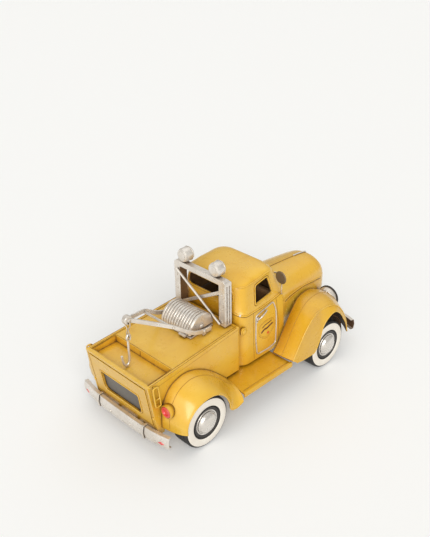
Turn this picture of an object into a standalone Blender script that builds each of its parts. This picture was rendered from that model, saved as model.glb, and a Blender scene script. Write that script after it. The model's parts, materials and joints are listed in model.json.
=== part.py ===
# Toy tow truck, a hand-made sheet-metal pickup with a mast, a fixed boom, a swinging hook,
# four rolling wheels and a drop tailgate.
#
# World frame: metres, +Z up, ground at Z = 0, the truck's nose towards -Y, its right side towards -X.
# Shapes are laid out in tyre radii: u = forward, w = to the truck's right, z = up. The running gear counts
# u from the rear axle and z from the ground; the body sits on its own datum, a little behind and above.
import bpy
import bmesh
import math
from mathutils import Vector, Matrix

# ----------------------------------------------------------------------------- driving dimensions
TYRE_R = 0.028            # tyre radius, the unit of everything below
WHEELBASE = 6.72
TRACK_OUT = 2.68          # outer face of the tyres from the middle
TYRE_W = 0.80             # tyre width
HUB_Z = 1.0
REAR_U = -1.81            # rearmost point (bumper guards)
FRONT_U = 9.29            # foremost point (front bumper)
UC = (REAR_U + FRONT_U) / 2.0
GAP = 0.0003 / TYRE_R     # clearance between touching pieces
SHEET = 0.05              # sheet-metal thickness
BODY_DU = -0.112          # body datum, forward of the rear axle
BODY_DZ = 0.136           # body datum, above the ground

BED_W = 1.65              # half width of the bed
BED_FRONT = 2.77
BED_TAIL_TOP = (-1.66, 2.76)
BED_TAIL_BOT = (-1.31, 0.59)
BED_RAIL_FRONT_Z = 3.13
RAIL = 0.13               # width of the top rails
WELL_FRONT = -0.45
WELL_DEPTH = 0.26

FENDER_W = 2.71           # outer face of the fenders
MAST_U0, MAST_U1 = 2.36, 2.72
MAST_W = 1.33
MAST_TOP = 5.02
BOOM_TIP = (-1.00, 0.0, 4.42)
TAPER = 0.045             # the body widens by this much from the front of the bed to its tail


def W(u, w, z):
    """World point from running-gear values."""
    return Vector((-w * TYRE_R, (UC - u) * TYRE_R, z * TYRE_R))


def P(u, w, z):
    """World point from body values; the bed widens a little towards the tail."""
    k = 1.0 + TAPER * min(max((BED_FRONT - u) / 4.43, 0.0), 1.1)
    return W(u + BODY_DU, w * k, z + BODY_DZ)


# ----------------------------------------------------------------------------- scene set-up
for ob in list(bpy.data.objects):
    bpy.data.objects.remove(ob, do_unlink=True)


def material(name, rgb, rough, metal):
    m = bpy.data.materials.new(name)
    m.use_nodes = True
    b = m.node_tree.nodes["Principled BSDF"]
    b.inputs["Base Color"].default_value = (rgb[0], rgb[1], rgb[2], 1.0)
    b.inputs["Roughness"].default_value = rough
    b.inputs["Metallic"].default_value = metal
    m.diffuse_color = (rgb[0], rgb[1], rgb[2], 1.0)
    return m


YELLOW = material("yellow_paint", (0.80, 0.47, 0.04), 0.42, 0.0)
SILVER = material("silver_paint", (0.55, 0.52, 0.48), 0.38, 0.75)
CHROME = material("hubcap_silver", (0.66, 0.63, 0.60), 0.25, 0.9)
RUBBER = material("black_rubber", (0.03, 0.03, 0.03), 0.75, 0.0)
DARK = material("dark_underbody", (0.06, 0.045, 0.035), 0.7, 0.1)
STEEL = material("axle_steel", (0.45, 0.44, 0.43), 0.35, 1.0)
GREY = material("grey_panel", (0.12, 0.11, 0.11), 0.6, 0.0)
RED = material("red_lens", (0.65, 0.05, 0.05), 0.3, 0.0)
GLASS = material("lamp_lens", (0.75, 0.75, 0.70), 0.2, 0.0)
BROWN = material("brown_seat", (0.10, 0.06, 0.035), 0.6, 0.0)


# ----------------------------------------------------------------------------- modelling helpers
def add(name, verts, faces, mat, smooth_angle=35.0):
    me = bpy.data.meshes.new(name)
    me.from_pydata([tuple(v) for v in verts], [], faces)
    me.update()
    bm = bmesh.new()
    bm.from_mesh(me)
    bmesh.ops.remove_doubles(bm, verts=bm.verts, dist=1e-6)
    bmesh.ops.dissolve_degenerate(bm, edges=bm.edges, dist=1e-7)
    bmesh.ops.recalc_face_normals(bm, faces=bm.faces)
    bm.to_mesh(me)
    bm.free()
    me.materials.append(mat)
    me.shade_smooth()
    me.set_sharp_from_angle(angle=math.radians(smooth_angle))
    ob = bpy.data.objects.new(name, me)
    bpy.context.scene.collection.objects.link(ob)
    return ob


def loft(name, rings, mat, closed_path=False, smooth_angle=35.0):
    """Skin a row of closed rings with the same number of points; flat caps on open paths."""
    n = len(rings[0])
    verts = [v for r in rings for v in r]
    faces = []
    m = len(rings)
    last = m if closed_path else m - 1
    for i in range(last):
        a, b = i * n, ((i + 1) % m) * n
        for j in range(n):
            k = (j + 1) % n
            faces.append((a + j, a + k, b + k, b + j))
    if not closed_path:
        faces.append(tuple(range(n - 1, -1, -1)))
        faces.append(tuple((m - 1) * n + j for j in range(n)))
    return add(name, verts, faces, mat, smooth_angle)


def prism(name, outline, axis, a, b, mat, smooth_angle=30.0, base=P):
    """Extrude a closed outline along u, w or z. The outline gives the other two values in u, w, z order."""
    def pt(p, v):
        if axis == "u":
            return base(v, p[0], p[1])
        if axis == "w":
            return base(p[0], v, p[1])
        return base(p[0], p[1], v)
    return loft(name, [[pt(p, a) for p in outline], [pt(p, b) for p in outline]], mat, smooth_angle=smooth_angle)


def block(name, u0, u1, w0, w1, z0, z1, mat, base=P):
    return prism(name, [(w0, z0), (w1, z0), (w1, z1), (w0, z1)], "u", u0, u1, mat, base=base)


def rounded(outline, r, n=3):
    """Round every corner of a polygon with arcs of about radius r."""
    out = []
    m = len(outline)
    for i in range(m):
        p0, p1, p2 = Vector(outline[i - 1]), Vector(outline[i]), Vector(outline[(i + 1) % m])
        d0, d1 = (p0 - p1), (p2 - p1)
        rr = min(r, d0.length * 0.45, d1.length * 0.45)
        a, b = p1 + d0.normalized() * rr, p1 + d1.normalized() * rr
        for k in range(n + 1):
            t = k / n
            q = a * (1 - t) ** 2 + p1 * 2 * t * (1 - t) + b * t ** 2
            out.append((q.x, q.y))
    return out


def tube(name, pts, radius, sides, mat, closed=False, flat=None):
    """Round (or, with flat=(width, height), rectangular) bar along points in u, w, z."""
    q = [P(*p) for p in pts]
    n = len(q)
    rings = []
    normal = None
    for i in range(n):
        if closed:
            t = (q[(i + 1) % n] - q[i - 1]).normalized()
        else:
            t = (q[min(i + 1, n - 1)] - q[max(i - 1, 0)]).normalized()
        if normal is None or flat:
            up = Vector((0, 0, 1)) if abs(t.z) < 0.9 else Vector((0, 1, 0))
            normal = (up - t * up.dot(t)).normalized()
        else:
            normal = (normal - t * normal.dot(t)).normalized()
        side = t.cross(normal).normalized()
        ring = []
        if flat:
            hw, hh = flat[0] * TYRE_R / 2, flat[1] * TYRE_R / 2
            for sx, sy in ((-1, -1), (1, -1), (1, 1), (-1, 1)):
                ring.append(q[i] + side * (sx * hw) + normal * (sy * hh))
        else:
            for k in range(sides):
                a = 2 * math.pi * k / sides
                ring.append(q[i] + (normal * math.cos(a) + side * math.sin(a)) * radius * TYRE_R)
        rings.append(ring)
    return loft(name, rings, mat, closed_path=closed, smooth_angle=40)


def smooth_path(pts, per=6, closed=False):
    """Catmull-Rom points through the given ones."""
    v = [Vector(p) for p in pts]
    n = len(v)
    out = []
    segs = n if closed else n - 1
    for i in range(segs):
        if closed:
            p0, p1, p2, p3 = v[i - 1], v[i], v[(i + 1) % n], v[(i + 2) % n]
        else:
            p0 = v[i - 1] if i > 0 else v[0] * 2 - v[1]
            p1, p2 = v[i], v[i + 1]
            p3 = v[i + 2] if i + 2 < n else v[n - 1] * 2 - v[n - 2]
        for k in range(per):
            t = k / per
            out.append(0.5 * ((2 * p1) + (p2 - p0) * t + (2 * p0 - 5 * p1 + 4 * p2 - p3) * t * t
                              + (3 * p1 - p0 - 3 * p2 + p3) * t ** 3))
    if not closed:
        out.append(v[-1])
    return [tuple(p) for p in out]


def lathe(name, profile, axis, centre, seg, mat, closed=False, smooth_angle=35.0, base=P):
    """Turn a profile of (radius, offset) about a line along u, w or z through centre (u, w, z)."""
    cu, cw, cz = centre
    verts, idx = [], []
    for (r, o) in profile:
        if r < 1e-6:
            idx.append([len(verts)])
            ring = [(0.0, 0.0)]
        else:
            idx.append(list(range(len(verts), len(verts) + seg)))
            ring = [(r * math.cos(2 * math.pi * k / seg), r * math.sin(2 * math.pi * k / seg)) for k in range(seg)]
        for (a, b) in ring:
            if axis == "w":
                verts.append(base(cu + a, cw + o, cz + b))
            elif axis == "u":
                verts.append(base(cu + o, cw + a, cz + b))
            else:
                verts.append(base(cu + a, cw + b, cz + o))
    faces = []
    m = len(profile)
    for i in range(m if closed else m - 1):
        A, B = idx[i], idx[(i + 1) % m]
        for k in range(seg):
            j = (k + 1) % seg
            if len(A) == 1 and len(B) == 1:
                continue
            if len(A) == 1:
                faces.append((A[0], B[j], B[k]))
            elif len(B) == 1:
                faces.append((A[k], A[j], B[0]))
            else:
                faces.append((A[k], A[j], B[j], B[k]))
    return add(name, verts, faces, mat, smooth_angle)


def sheet(name, grid, thick, mat, flip=False, smooth_angle=40.0, lift=0.0):
    """A curved sheet of even thickness from an open grid of points; thickness grows inwards."""
    m, n = len(grid), len(grid[0])
    nor = []
    for i in range(m):
        row = []
        for j in range(n):
            du = grid[min(i + 1, m - 1)][j] - grid[max(i - 1, 0)][j]
            dv = grid[i][min(j + 1, n - 1)] - grid[i][max(j - 1, 0)]
            c = du.cross(dv)
            row.append(c.normalized() if c.length > 1e-12 else Vector((0, 0, 1)))
        nor.append(row)
    s = -1.0 if flip else 1.0
    verts = [grid[i][j] + nor[i][j] * s * lift * TYRE_R for i in range(m) for j in range(n)]
    verts += [grid[i][j] - nor[i][j] * s * thick * TYRE_R for i in range(m) for j in range(n)]
    o = m * n
    f = []
    for i in range(m - 1):
        for j in range(n - 1):
            a, b, c, d = i * n + j, i * n + j + 1, (i + 1) * n + j + 1, (i + 1) * n + j
            f.append((a, b, c, d))
            f.append((o + d, o + c, o + b, o + a))
    edge = [i * n for i in range(m)] + [(m - 1) * n + j for j in range(1, n)]
    edge += [i * n + n - 1 for i in range(m - 2, -1, -1)] + [j for j in range(n - 2, 0, -1)]
    for k in range(len(edge)):
        a, b = edge[k], edge[(k + 1) % len(edge)]
        f.append((a, b, o + b, o + a))
    return add(name, verts, f, mat, smooth_angle)


def boolean(ob, others, op):
    """Apply a Boolean with each of the other objects, then drop them."""
    for other in others:
        mod = ob.modifiers.new("b", "BOOLEAN")
        mod.operation = op
        mod.solver = "EXACT"
        mod.object = other
        bpy.context.view_layer.update()
        dg = bpy.context.evaluated_depsgraph_get()
        me = bpy.data.meshes.new_from_object(ob.evaluated_get(dg))
        ob.modifiers.remove(mod)
        old = ob.data
        ob.data = me
        me.name = ob.name
        bpy.data.meshes.remove(old)
        bpy.data.objects.remove(other, do_unlink=True)
    bm = bmesh.new()
    bm.from_mesh(ob.data)
    bmesh.ops.remove_doubles(bm, verts=bm.verts, dist=2e-6)
    bmesh.ops.dissolve_degenerate(bm, edges=bm.edges, dist=1e-6)
    bm.to_mesh(ob.data)
    bm.free()
    return ob


def keep_piece(ob, far):
    """Of an object's separate pieces, keep the one that reaches furthest in a direction."""
    bm = bmesh.new()
    bm.from_mesh(ob.data)
    keep, todo = set(), [max(bm.verts, key=lambda v: v.co.dot(Vector(far)))]
    while todo:
        v = todo.pop()
        if v in keep:
            continue
        keep.add(v)
        todo += [e.other_vert(v) for e in v.link_edges]
    bmesh.ops.delete(bm, geom=[v for v in bm.verts if v not in keep], context="VERTS")
    bm.to_mesh(ob.data)
    bm.free()


def interp(table, t):
    """Linear look-up in rows of (t, a, b, ...)."""
    if t <= table[0][0]:
        return table[0][1:]
    for a, b in zip(table, table[1:]):
        if t <= b[0]:
            k = (t - a[0]) / (b[0] - a[0])
            return tuple(x + (y - x) * k for x, y in zip(a[1:], b[1:]))
    return table[-1][1:]


def set_origin(ob, point):
    """Put an object's origin on a point, leaving its shape where it is."""
    ob.data.transform(Matrix.Translation(-point))
    ob.location = point
    return ob


# ----------------------------------------------------------------------------- bed surface
def rail_z(u):
    u0, z0 = BED_TAIL_TOP
    return z0 + (u - u0) / (BED_FRONT - u0) * (BED_RAIL_FRONT_Z - z0)


def tail_u(z):
    (ut, zt), (ub, zb) = BED_TAIL_TOP, BED_TAIL_BOT
    return ub + (z - zb) / (zt - zb) * (ut - ub)


# ----------------------------------------------------------------------------- chassis and axles
def build_chassis():
    def bar(nm, u0, u1, w0, w1, z0, z1):
        return block(nm, u0, u1, w0, w1, z0, z1, DARK, base=W)
    base = bar("chassis_frame", -1.10, 8.45, 0.44, 0.60, 1.22, 1.31)
    parts = [bar("t1", -1.10, 8.45, -0.60, -0.44, 1.22, 1.31)]
    for i, u in enumerate((-1.0, 0.55, 2.2, 4.2, 6.0, 7.4, 8.3)):
        parts.append(bar("t2%d" % i, u - 0.09, u + 0.09, -0.52, 0.52, 1.23, 1.30))
    for i, u in enumerate((0.0, WHEELBASE)):
        for s in (-1, 1):
            parts.append(prism("t3%d%d" % (i, s), [(u - 0.22, 1.26), (u - 0.14, 0.84), (u + 0.14, 0.84), (u + 0.22, 1.26)],
                               "w", s * 0.46, s * 0.58, DARK, base=W))
    # irons that carry the bumpers
    for s in (-1, 1):
        parts.append(prism("t4%d" % s, [(-0.96, 1.30), (-0.96, 1.24), (-1.12, 0.70), (-1.58, 0.70), (-1.58, 0.76), (-1.18, 0.76),
                                        (-1.02, 1.30)], "w", s * 0.46, s * 0.58, DARK, base=W))
        parts.append(prism("t5%d" % s, [(8.36, 1.28), (8.36, 1.24), (8.76, 0.78), (9.06, 0.78), (9.06, 0.84), (8.80, 0.84),
                                        (8.42, 1.28)], "w", s * 0.46, s * 0.58, DARK, base=W))
    boolean(base, parts, "UNION")
    holes = [lathe("h%d" % i, [(0.0, -1.2), (0.085, -1.2), (0.085, 1.2), (0.0, 1.2)], "w", (u, 0, HUB_Z), 16, DARK, base=W)
             for i, u in enumerate((0.0, WHEELBASE))]
    boolean(base, holes, "DIFFERENCE")
    for nm, u in (("rear_axle", 0.0), ("front_axle", WHEELBASE)):
        e = TRACK_OUT - 0.16
        lathe(nm, [(0.0, -e), (0.07, -e), (0.07, e), (0.0, e)], "w", (u, 0, HUB_Z), 14, STEEL, base=W)


# ----------------------------------------------------------------------------- wheels
def build_wheel(tag, u, s):
    o, i = TRACK_OUT, TRACK_OUT - TYRE_W
    tyre = [(0.60, o - 0.06), (0.65, o - 0.02), (0.78, o), (0.93, o - 0.01), (0.98, o - 0.04), (1.0, o - 0.10),
            (1.0, i + 0.16), (0.97, i + 0.05), (0.88, i + 0.01), (0.70, i), (0.60, i + 0.06)]
    t = lathe("tyre_" + tag, [(r, s * x) for r, x in tyre], "w", (u, 0, HUB_Z), 36, RUBBER, closed=True, base=W)
    set_origin(t, W(u, s * o, HUB_Z))
    r0 = 0.60 - GAP
    rim = [(0.0, o - 0.05), (0.46, o - 0.05), (0.50, o - 0.02), (0.56, o - 0.015), (r0, o - 0.06), (r0, i + 0.06),
           (0.53, i + 0.06), (0.51, o - 0.22), (0.16, o - 0.22), (0.14, i + 0.12), (0.085, i + 0.12), (0.085, o - 0.14),
           (0.0, o - 0.14)]
    w = lathe("wheel_" + tag, [(r, s * x) for r, x in rim], "w", (u, 0, HUB_Z), 28, CHROME, base=W)
    set_origin(w, W(u, s * o, HUB_Z))
    b = o - 0.05 + GAP
    cap = [(0.0, b), (0.44, b), (0.445, b + 0.04), (0.40, b + 0.10), (0.30, b + 0.16), (0.16, b + 0.195), (0.0, b + 0.205)]
    h = lathe("hubcap_" + tag, [(r, s * x) for r, x in cap], "w", (u, 0, HUB_Z), 24, CHROME, base=W)
    set_origin(h, W(u, s * o, HUB_Z))


# ----------------------------------------------------------------------------- fenders
def superquad(n_s, power):
    """Quarter superellipse, from the inner seam (0, 1) to the outer edge (1, 0)."""
    out = []
    for k in range(n_s + 1):
        a = 0.5 * math.pi * k / n_s
        out.append((math.sin(a) ** (2.0 / power), math.cos(a) ** (2.0 / power)))
    return out


def fender(name, s, seam, edge, w_in, w_out, powers, n_t, n_s):
    """seam: (u, z) on the body; edge: (u, z) of the wheel opening; w_in: matching inner half widths."""
    sm = smooth_path([(p[0], w, p[1]) for p, w in zip(seam, w_in)], n_t)
    ed = smooth_path([(p[0], w_out, p[1]) for p in edge], n_t)
    pw = smooth_path([(q, 0, 0) for q in powers], n_t)
    grid = []
    for a, b, q in zip(sm, ed, pw):
        A, B = P(a[0], s * a[1], a[2]), W(b[0], s * b[1], b[2])
        row = []
        for x, y in superquad(n_s, q[0]):
            row.append(Vector((A.x + (B.x - A.x) * x, B.y + (A.y - B.y) * y, B.z + (A.z - B.z) * y)))
        grid.append(row)
    sheet(name, grid, SHEET, YELLOW, flip=(s > 0))
    return grid


REAR_SEAM = [(-1.15, 0.86), (-1.13, 1.40), (-1.00, 1.92), (-0.66, 2.36), (-0.10, 2.54), (0.45, 2.45), (0.98, 2.18),
             (1.42, 1.84), (1.72, 1.56), (1.94, 1.34), (2.06, 1.22)]
REAR_EDGE = [(-1.00, 1.08), (-1.01, 1.30), (-0.89, 1.63), (-0.52, 1.97), (0.01, 2.10), (0.48, 2.00), (0.84, 1.70),
             (1.04, 1.30), (1.10, 1.00), (1.38, 0.91), (1.72, 1.00)]
REAR_POWER = [1.5, 1.5, 1.45, 1.4, 1.3, 1.3, 1.35, 1.4, 1.5, 1.6, 1.7]
FRONT_ROWS = [  # seam u, w, z on the body; ridge u, w, z and edge u, z from the axle; bulge between seam and ridge
    (4.52, 1.79, 1.22, 4.52, 2.72, 1.32, 4.72, 1.18, 0.03),
    (4.84, 1.72, 1.41, 4.85, 2.72, 1.83, 5.08, 1.12, 0.05),
    (5.19, 1.66, 1.78, 5.12, 2.72, 2.24, 5.45, 1.11, 0.06),
    (5.54, 1.60, 2.15, 5.42, 2.70, 2.54, 5.82, 1.15, 0.08),
    (5.90, 1.54, 2.47, 5.78, 2.66, 2.76, 6.09, 1.58, 0.10),
    (6.34, 1.42, 2.70, 6.24, 2.60, 2.80, 6.25, 2.08, 0.12),
    (6.74, 1.34, 2.75, 6.70, 2.60, 2.79, 6.58, 2.38, 0.14),
    (7.13, 1.28, 2.73, 7.14, 2.63, 2.66, 6.98, 2.48, 0.17),
    (7.53, 1.22, 2.61, 7.46, 2.67, 2.38, 7.34, 2.25, 0.20),
    (7.93, 1.18, 2.36, 7.68, 2.70, 2.02, 7.60, 1.88, 0.24),
    (8.28, 1.12, 1.76, 7.84, 2.72, 1.62, 7.80, 1.52, 0.28),
    (8.50, 1.07, 0.78, 7.93, 2.72, 1.18, 7.90, 1.14, 0.30),
]


def front_fender(name, s, n_t, n_s):
    """Front fender: a broad face from the body out to a ridge, then a flat skirt down to the wheel opening."""
    seam = smooth_path([(r[0], r[1], r[2]) for r in FRONT_ROWS], n_t)
    ridge = smooth_path([(r[3], r[4], r[5]) for r in FRONT_ROWS], n_t)
    edge = smooth_path([(r[6], FENDER_W + 0.06, r[7]) for r in FRONT_ROWS], n_t)
    bulge = smooth_path([(r[8], 0.0, 0.0) for r in FRONT_ROWS], n_t)
    hub = W(WHEELBASE, 0, HUB_Z)
    grid = []
    for a, b, c, g in zip(seam, ridge, edge, bulge):
        A, B, C = P(a[0], s * a[1], a[2]), W(b[0], s * b[1], b[2]), W(c[0], s * c[1], c[2])
        d = (A + B) * 0.5 - hub
        d.x = 0.0
        d.normalize()
        row = []
        for k in range(n_s + 1):
            t = k / n_s
            row.append(A.lerp(B, t) + d * (g[0] * TYRE_R * math.sin(math.pi * t)))
        row.append(B.lerp(C, 0.5) + Vector((-s * 0.012 * TYRE_R, 0, 0)))
        row.append(C)
        grid.append(row)
    sheet(name, grid, SHEET, YELLOW, flip=(s > 0))
    return grid


# ----------------------------------------------------------------------------- cab and hood
def plan_ring(uR, uF, wR, wF, rR, rF, z, tilt=0.0, arc=4, mid=3):
    """A rounded trapezoid seen from above, always with the same number of points."""
    corners = [(uR, -wR, rR), (uF, -wF, rF), (uF, wF, rF), (uR, wR, rR)]
    pts = []
    m = len(corners)
    ends = []
    for i in range(m):
        p0, p1, p2 = (Vector(corners[i - 1][:2]), Vector(corners[i][:2]), Vector(corners[(i + 1) % m][:2]))
        r = min(corners[i][2], (p0 - p1).length * 0.499, (p2 - p1).length * 0.499)
        a, b = p1 + (p0 - p1).normalized() * r, p1 + (p2 - p1).normalized() * r
        arcpts = []
        for k in range(arc + 1):
            t = k / arc
            # circular-looking corner
            w0, w1, w2 = (1 - t) ** 2, 2 * t * (1 - t) * 0.75, t ** 2
            q = (a * w0 + p1 * w1 + b * w2) / (w0 + w1 + w2)
            arcpts.append(q)
        ends.append(arcpts)
    for i in range(m):
        pts += ends[i]
        a, b = ends[i][-1], ends[(i + 1) % m][0]
        for k in range(1, mid + 1):
            pts.append(a.lerp(b, k / (mid + 1)))
    return [P(q.x, q.y, z + tilt * (q.x - 3.0)) for q in pts]


CAB_LEVELS = [  # z, u rear, u front, half width rear, half width front, corner radii, tilt
    (1.215, 2.86, 5.42, 1.64, 1.62, 0.50, 0.04, 0.0),
    (2.20, 2.86, 5.42, 1.66, 1.56, 0.50, 0.04, 0.0),
    (3.36, 2.85, 5.42, 1.63, 1.46, 0.50, 0.05, 0.0),
    (3.46, 2.84, 5.42, 1.63, 1.45, 0.50, 0.06, 0.0),
    (3.56, 2.87, 5.42, 1.58, 1.42, 0.50, 0.16, 0.0),
    (4.00, 2.89, 5.24, 1.52, 1.39, 0.52, 0.24, 0.02),
    (4.38, 2.92, 5.00, 1.45, 1.37, 0.55, 0.32, 0.09),
    (4.48, 2.95, 4.92, 1.42, 1.34, 0.60, 0.38, 0.10),
    (4.57, 3.04, 4.88, 1.34, 1.28, 0.68, 0.46, 0.09),
    (4.65, 3.18, 4.82, 1.20, 1.17, 0.76, 0.54, 0.08),
    (4.71, 3.36, 4.72, 1.00, 1.00, 0.80, 0.58, 0.07),
    (4.75, 3.60, 4.58, 0.72, 0.76, 0.62, 0.52, 0.055),
    (4.77, 3.86, 4.42, 0.38, 0.44, 0.34, 0.32, 0.045),
]


def build_cab():
    outer, inner = [], []
    t = 0.06
    for (z, uR, uF, wR, wF, rR, rF, k) in CAB_LEVELS:
        outer.append(plan_ring(uR, uF, wR, wF, rR, rF, z, k))
    for i, (z, uR, uF, wR, wF, rR, rF, k) in enumerate(CAB_LEVELS):
        dz = 0.0 if i == 0 else (0.02 if z < 4.42 else 0.06)
        sh = t
        inner.append(plan_ring(uR + sh, uF - sh, max(wR - sh, 0.1), max(wF - sh, 0.1), max(rR - sh, 0.05),
                               max(rF - sh, 0.05), z - dz, k))
    n = len(outer[0])
    rings = list(reversed(inner)) + outer
    verts = [v for r in rings for v in r]
    m = len(rings)
    faces = []
    for i in range(m - 1):
        a, b = i * n, (i + 1) * n
        for j in range(n):
            q = (j + 1) % n
            faces.append((a + j, a + q, b + q, b + j))
    faces.append(tuple(range(n)))
    faces.append(tuple((m - 1) * n + j for j in range(n)))
    cab = add("cab_shell", verts, faces, YELLOW, 28)
    side = rounded([(3.80, 3.58), (4.76, 3.68), (4.52, 4.40), (3.87, 4.30)], 0.08)
    cut = [prism("c1", side, "w", -2.0, 2.0, YELLOW)]
    rear = rounded([(-1.16, 3.88), (1.16, 3.88), (1.08, 4.36), (-1.08, 4.36)], 0.20)
    cut.append(prism("c2", rear, "u", 2.2, 3.55, YELLOW))
    for s in (-1, 1):
        pane = rounded([(s * 0.06, 3.78), (s * 1.22, 3.78), (s * 1.12, 4.40), (s * 0.06, 4.48)], 0.10)
        cut.append(prism("c3%d" % s, pane, "u", 4.85, 6.0, YELLOW))
    # the lower front of the cab opens into the cowl
    cut.append(block("c4", 5.1, 6.0, -1.2, 1.2, 1.0, 3.2, YELLOW))
    boolean(cab, cut, "DIFFERENCE")
    prism("cab_floor", [(2.98, -1.10), (3.14, -1.34), (3.40, -1.50), (5.30, -1.46), (5.30, 1.46), (3.40, 1.50), (3.14, 1.34), (2.98, 1.10)], "z", 1.215, 1.27, DARK)
    seat = [(3.00, 1.30), (4.05, 1.30), (4.05, 2.15), (3.98, 2.25), (3.42, 2.30), (3.26, 3.35), (3.18, 3.42), (3.05, 3.42),
            (3.00, 3.30)]
    prism("bench_seat", seat, "w", -1.30, 1.30, BROWN)
    ring = [(4.66 + 0.12 * math.sin(2 * math.pi * k / 20), -0.62 + 0.36 * math.cos(2 * math.pi * k / 20),
             3.16 + 0.34 * math.sin(2 * math.pi * k / 20)) for k in range(20)]
    wheel = tube("steering_wheel", ring, 0.035, 6, DARK, closed=True)
    spokes = [tube("s1", [(4.66 - 0.002, -0.98, 3.16), (4.66, -0.26, 3.16)], 0.028, 6, DARK),
              tube("s2", [(4.66, -0.62, 3.16), (4.90, -0.62, 2.95), (5.20, -0.62, 2.62)], 0.04, 8, DARK),
              tube("s3", [(4.66, -0.62, 3.16), (4.546, -0.62, 2.835)], 0.028, 6, DARK)]
    boolean(wheel, spokes, "UNION")


HOOD_STATIONS = [  # u, top z, half width at the side, side bottom z, moulding z
    (5.43, 3.70, 1.44, 1.30, 2.98),
    (5.80, 3.69, 1.33, 1.30, 2.93),
    (6.30, 3.67, 1.22, 1.40, 2.90),
    (7.00, 3.64, 1.12, 1.50, 2.88),
    (7.70, 3.60, 1.05, 1.50, 2.88),
    (8.20, 3.56, 0.98, 1.30, 2.88),
    (8.50, 3.50, 0.91, 1.10, 2.86),
    (8.68, 3.37, 0.83, 1.00, 2.80),
    (8.77, 3.12, 0.77, 0.98, 2.68),
]
NOSE_U = 8.77


def hood_section(u, top, w, bot, mz, n=8, inset=0.0):
    """Arch over the engine: straight sides up to the moulding, then a quarter ellipse to the middle crease."""
    half = [(w - inset, bot), (w + 0.01 - inset, (bot + mz) * 0.5), (w + 0.02 - inset, mz - 0.04), (w - inset, mz)]
    for k in range(1, n + 1):
        a = 0.5 * math.pi * k / n
        x, y = math.cos(a) ** 0.94, math.sin(a) ** 0.96
        half.append(((w - inset) * x, mz + (top - inset - mz) * y))
    right = [(x, z) for x, z in half]
    left = [(-x, z) for x, z in reversed(half[:-1])]
    return [P(u, x, z) for x, z in right + left]


def build_hood():
    out = [hood_section(*st) for st in HOOD_STATIONS]
    # close the nose with a flat panel that carries the grille
    inn = []
    for i, (u, top, w, bot, mz) in enumerate(HOOD_STATIONS):
        uu = u if i < len(HOOD_STATIONS) - 1 else u - 0.06
        inn.append(hood_section(uu, top, w, bot, mz, inset=0.06))
    n = len(out[0])
    verts = [v for r in out for v in r] + [v for r in inn for v in r]
    m = len(out)
    o = m * n
    faces = []
    for i in range(m - 1):
        a, b = i * n, (i + 1) * n
        for j in range(n - 1):
            faces.append((a + j, a + j + 1, b + j + 1, b + j))
            faces.append((o + b + j, o + b + j + 1, o + a + j + 1, o + a + j))
        faces.append((a, b, o + b, o + a))
        faces.append((a + n - 1, o + a + n - 1, o + b + n - 1, b + n - 1))
    for j in range(n - 1):
        faces.append((j, o + j, o + j + 1, j + 1))
    e = (m - 1) * n
    faces.append(tuple(e + j for j in range(n)))
    faces.append(tuple(o + e + j for j in range(n - 1, -1, -1)))
    faces.append((e, e + n - 1, o + e + n - 1, o + e))
    add("hood", verts, faces, YELLOW, 28)
    # grille: a backing plate with upright bars, set on the nose
    back = rounded([(-0.64, 1.12), (0.64, 1.12), (0.66, 2.60), (0.46, 2.88), (-0.46, 2.88), (-0.66, 2.60)], 0.12)
    g = prism("grille", back, "u", NOSE_U + GAP, NOSE_U + 0.05, SILVER)
    bars = []
    for k in range(-4, 5):
        w = k * 0.135
        h = 2.80 - 0.10 * abs(k) / 4.0
        n = NOSE_U + 0.03
        bars.append(prism("b%d" % k, [(n, 1.20), (n + 0.06, 1.20), (n + 0.095, 1.4), (n + 0.095, h - 0.25), (n + 0.04, h - 0.02), (n, h)],
                          "w", w - 0.035, w + 0.035, SILVER))
    boolean(g, bars, "UNION")


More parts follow.
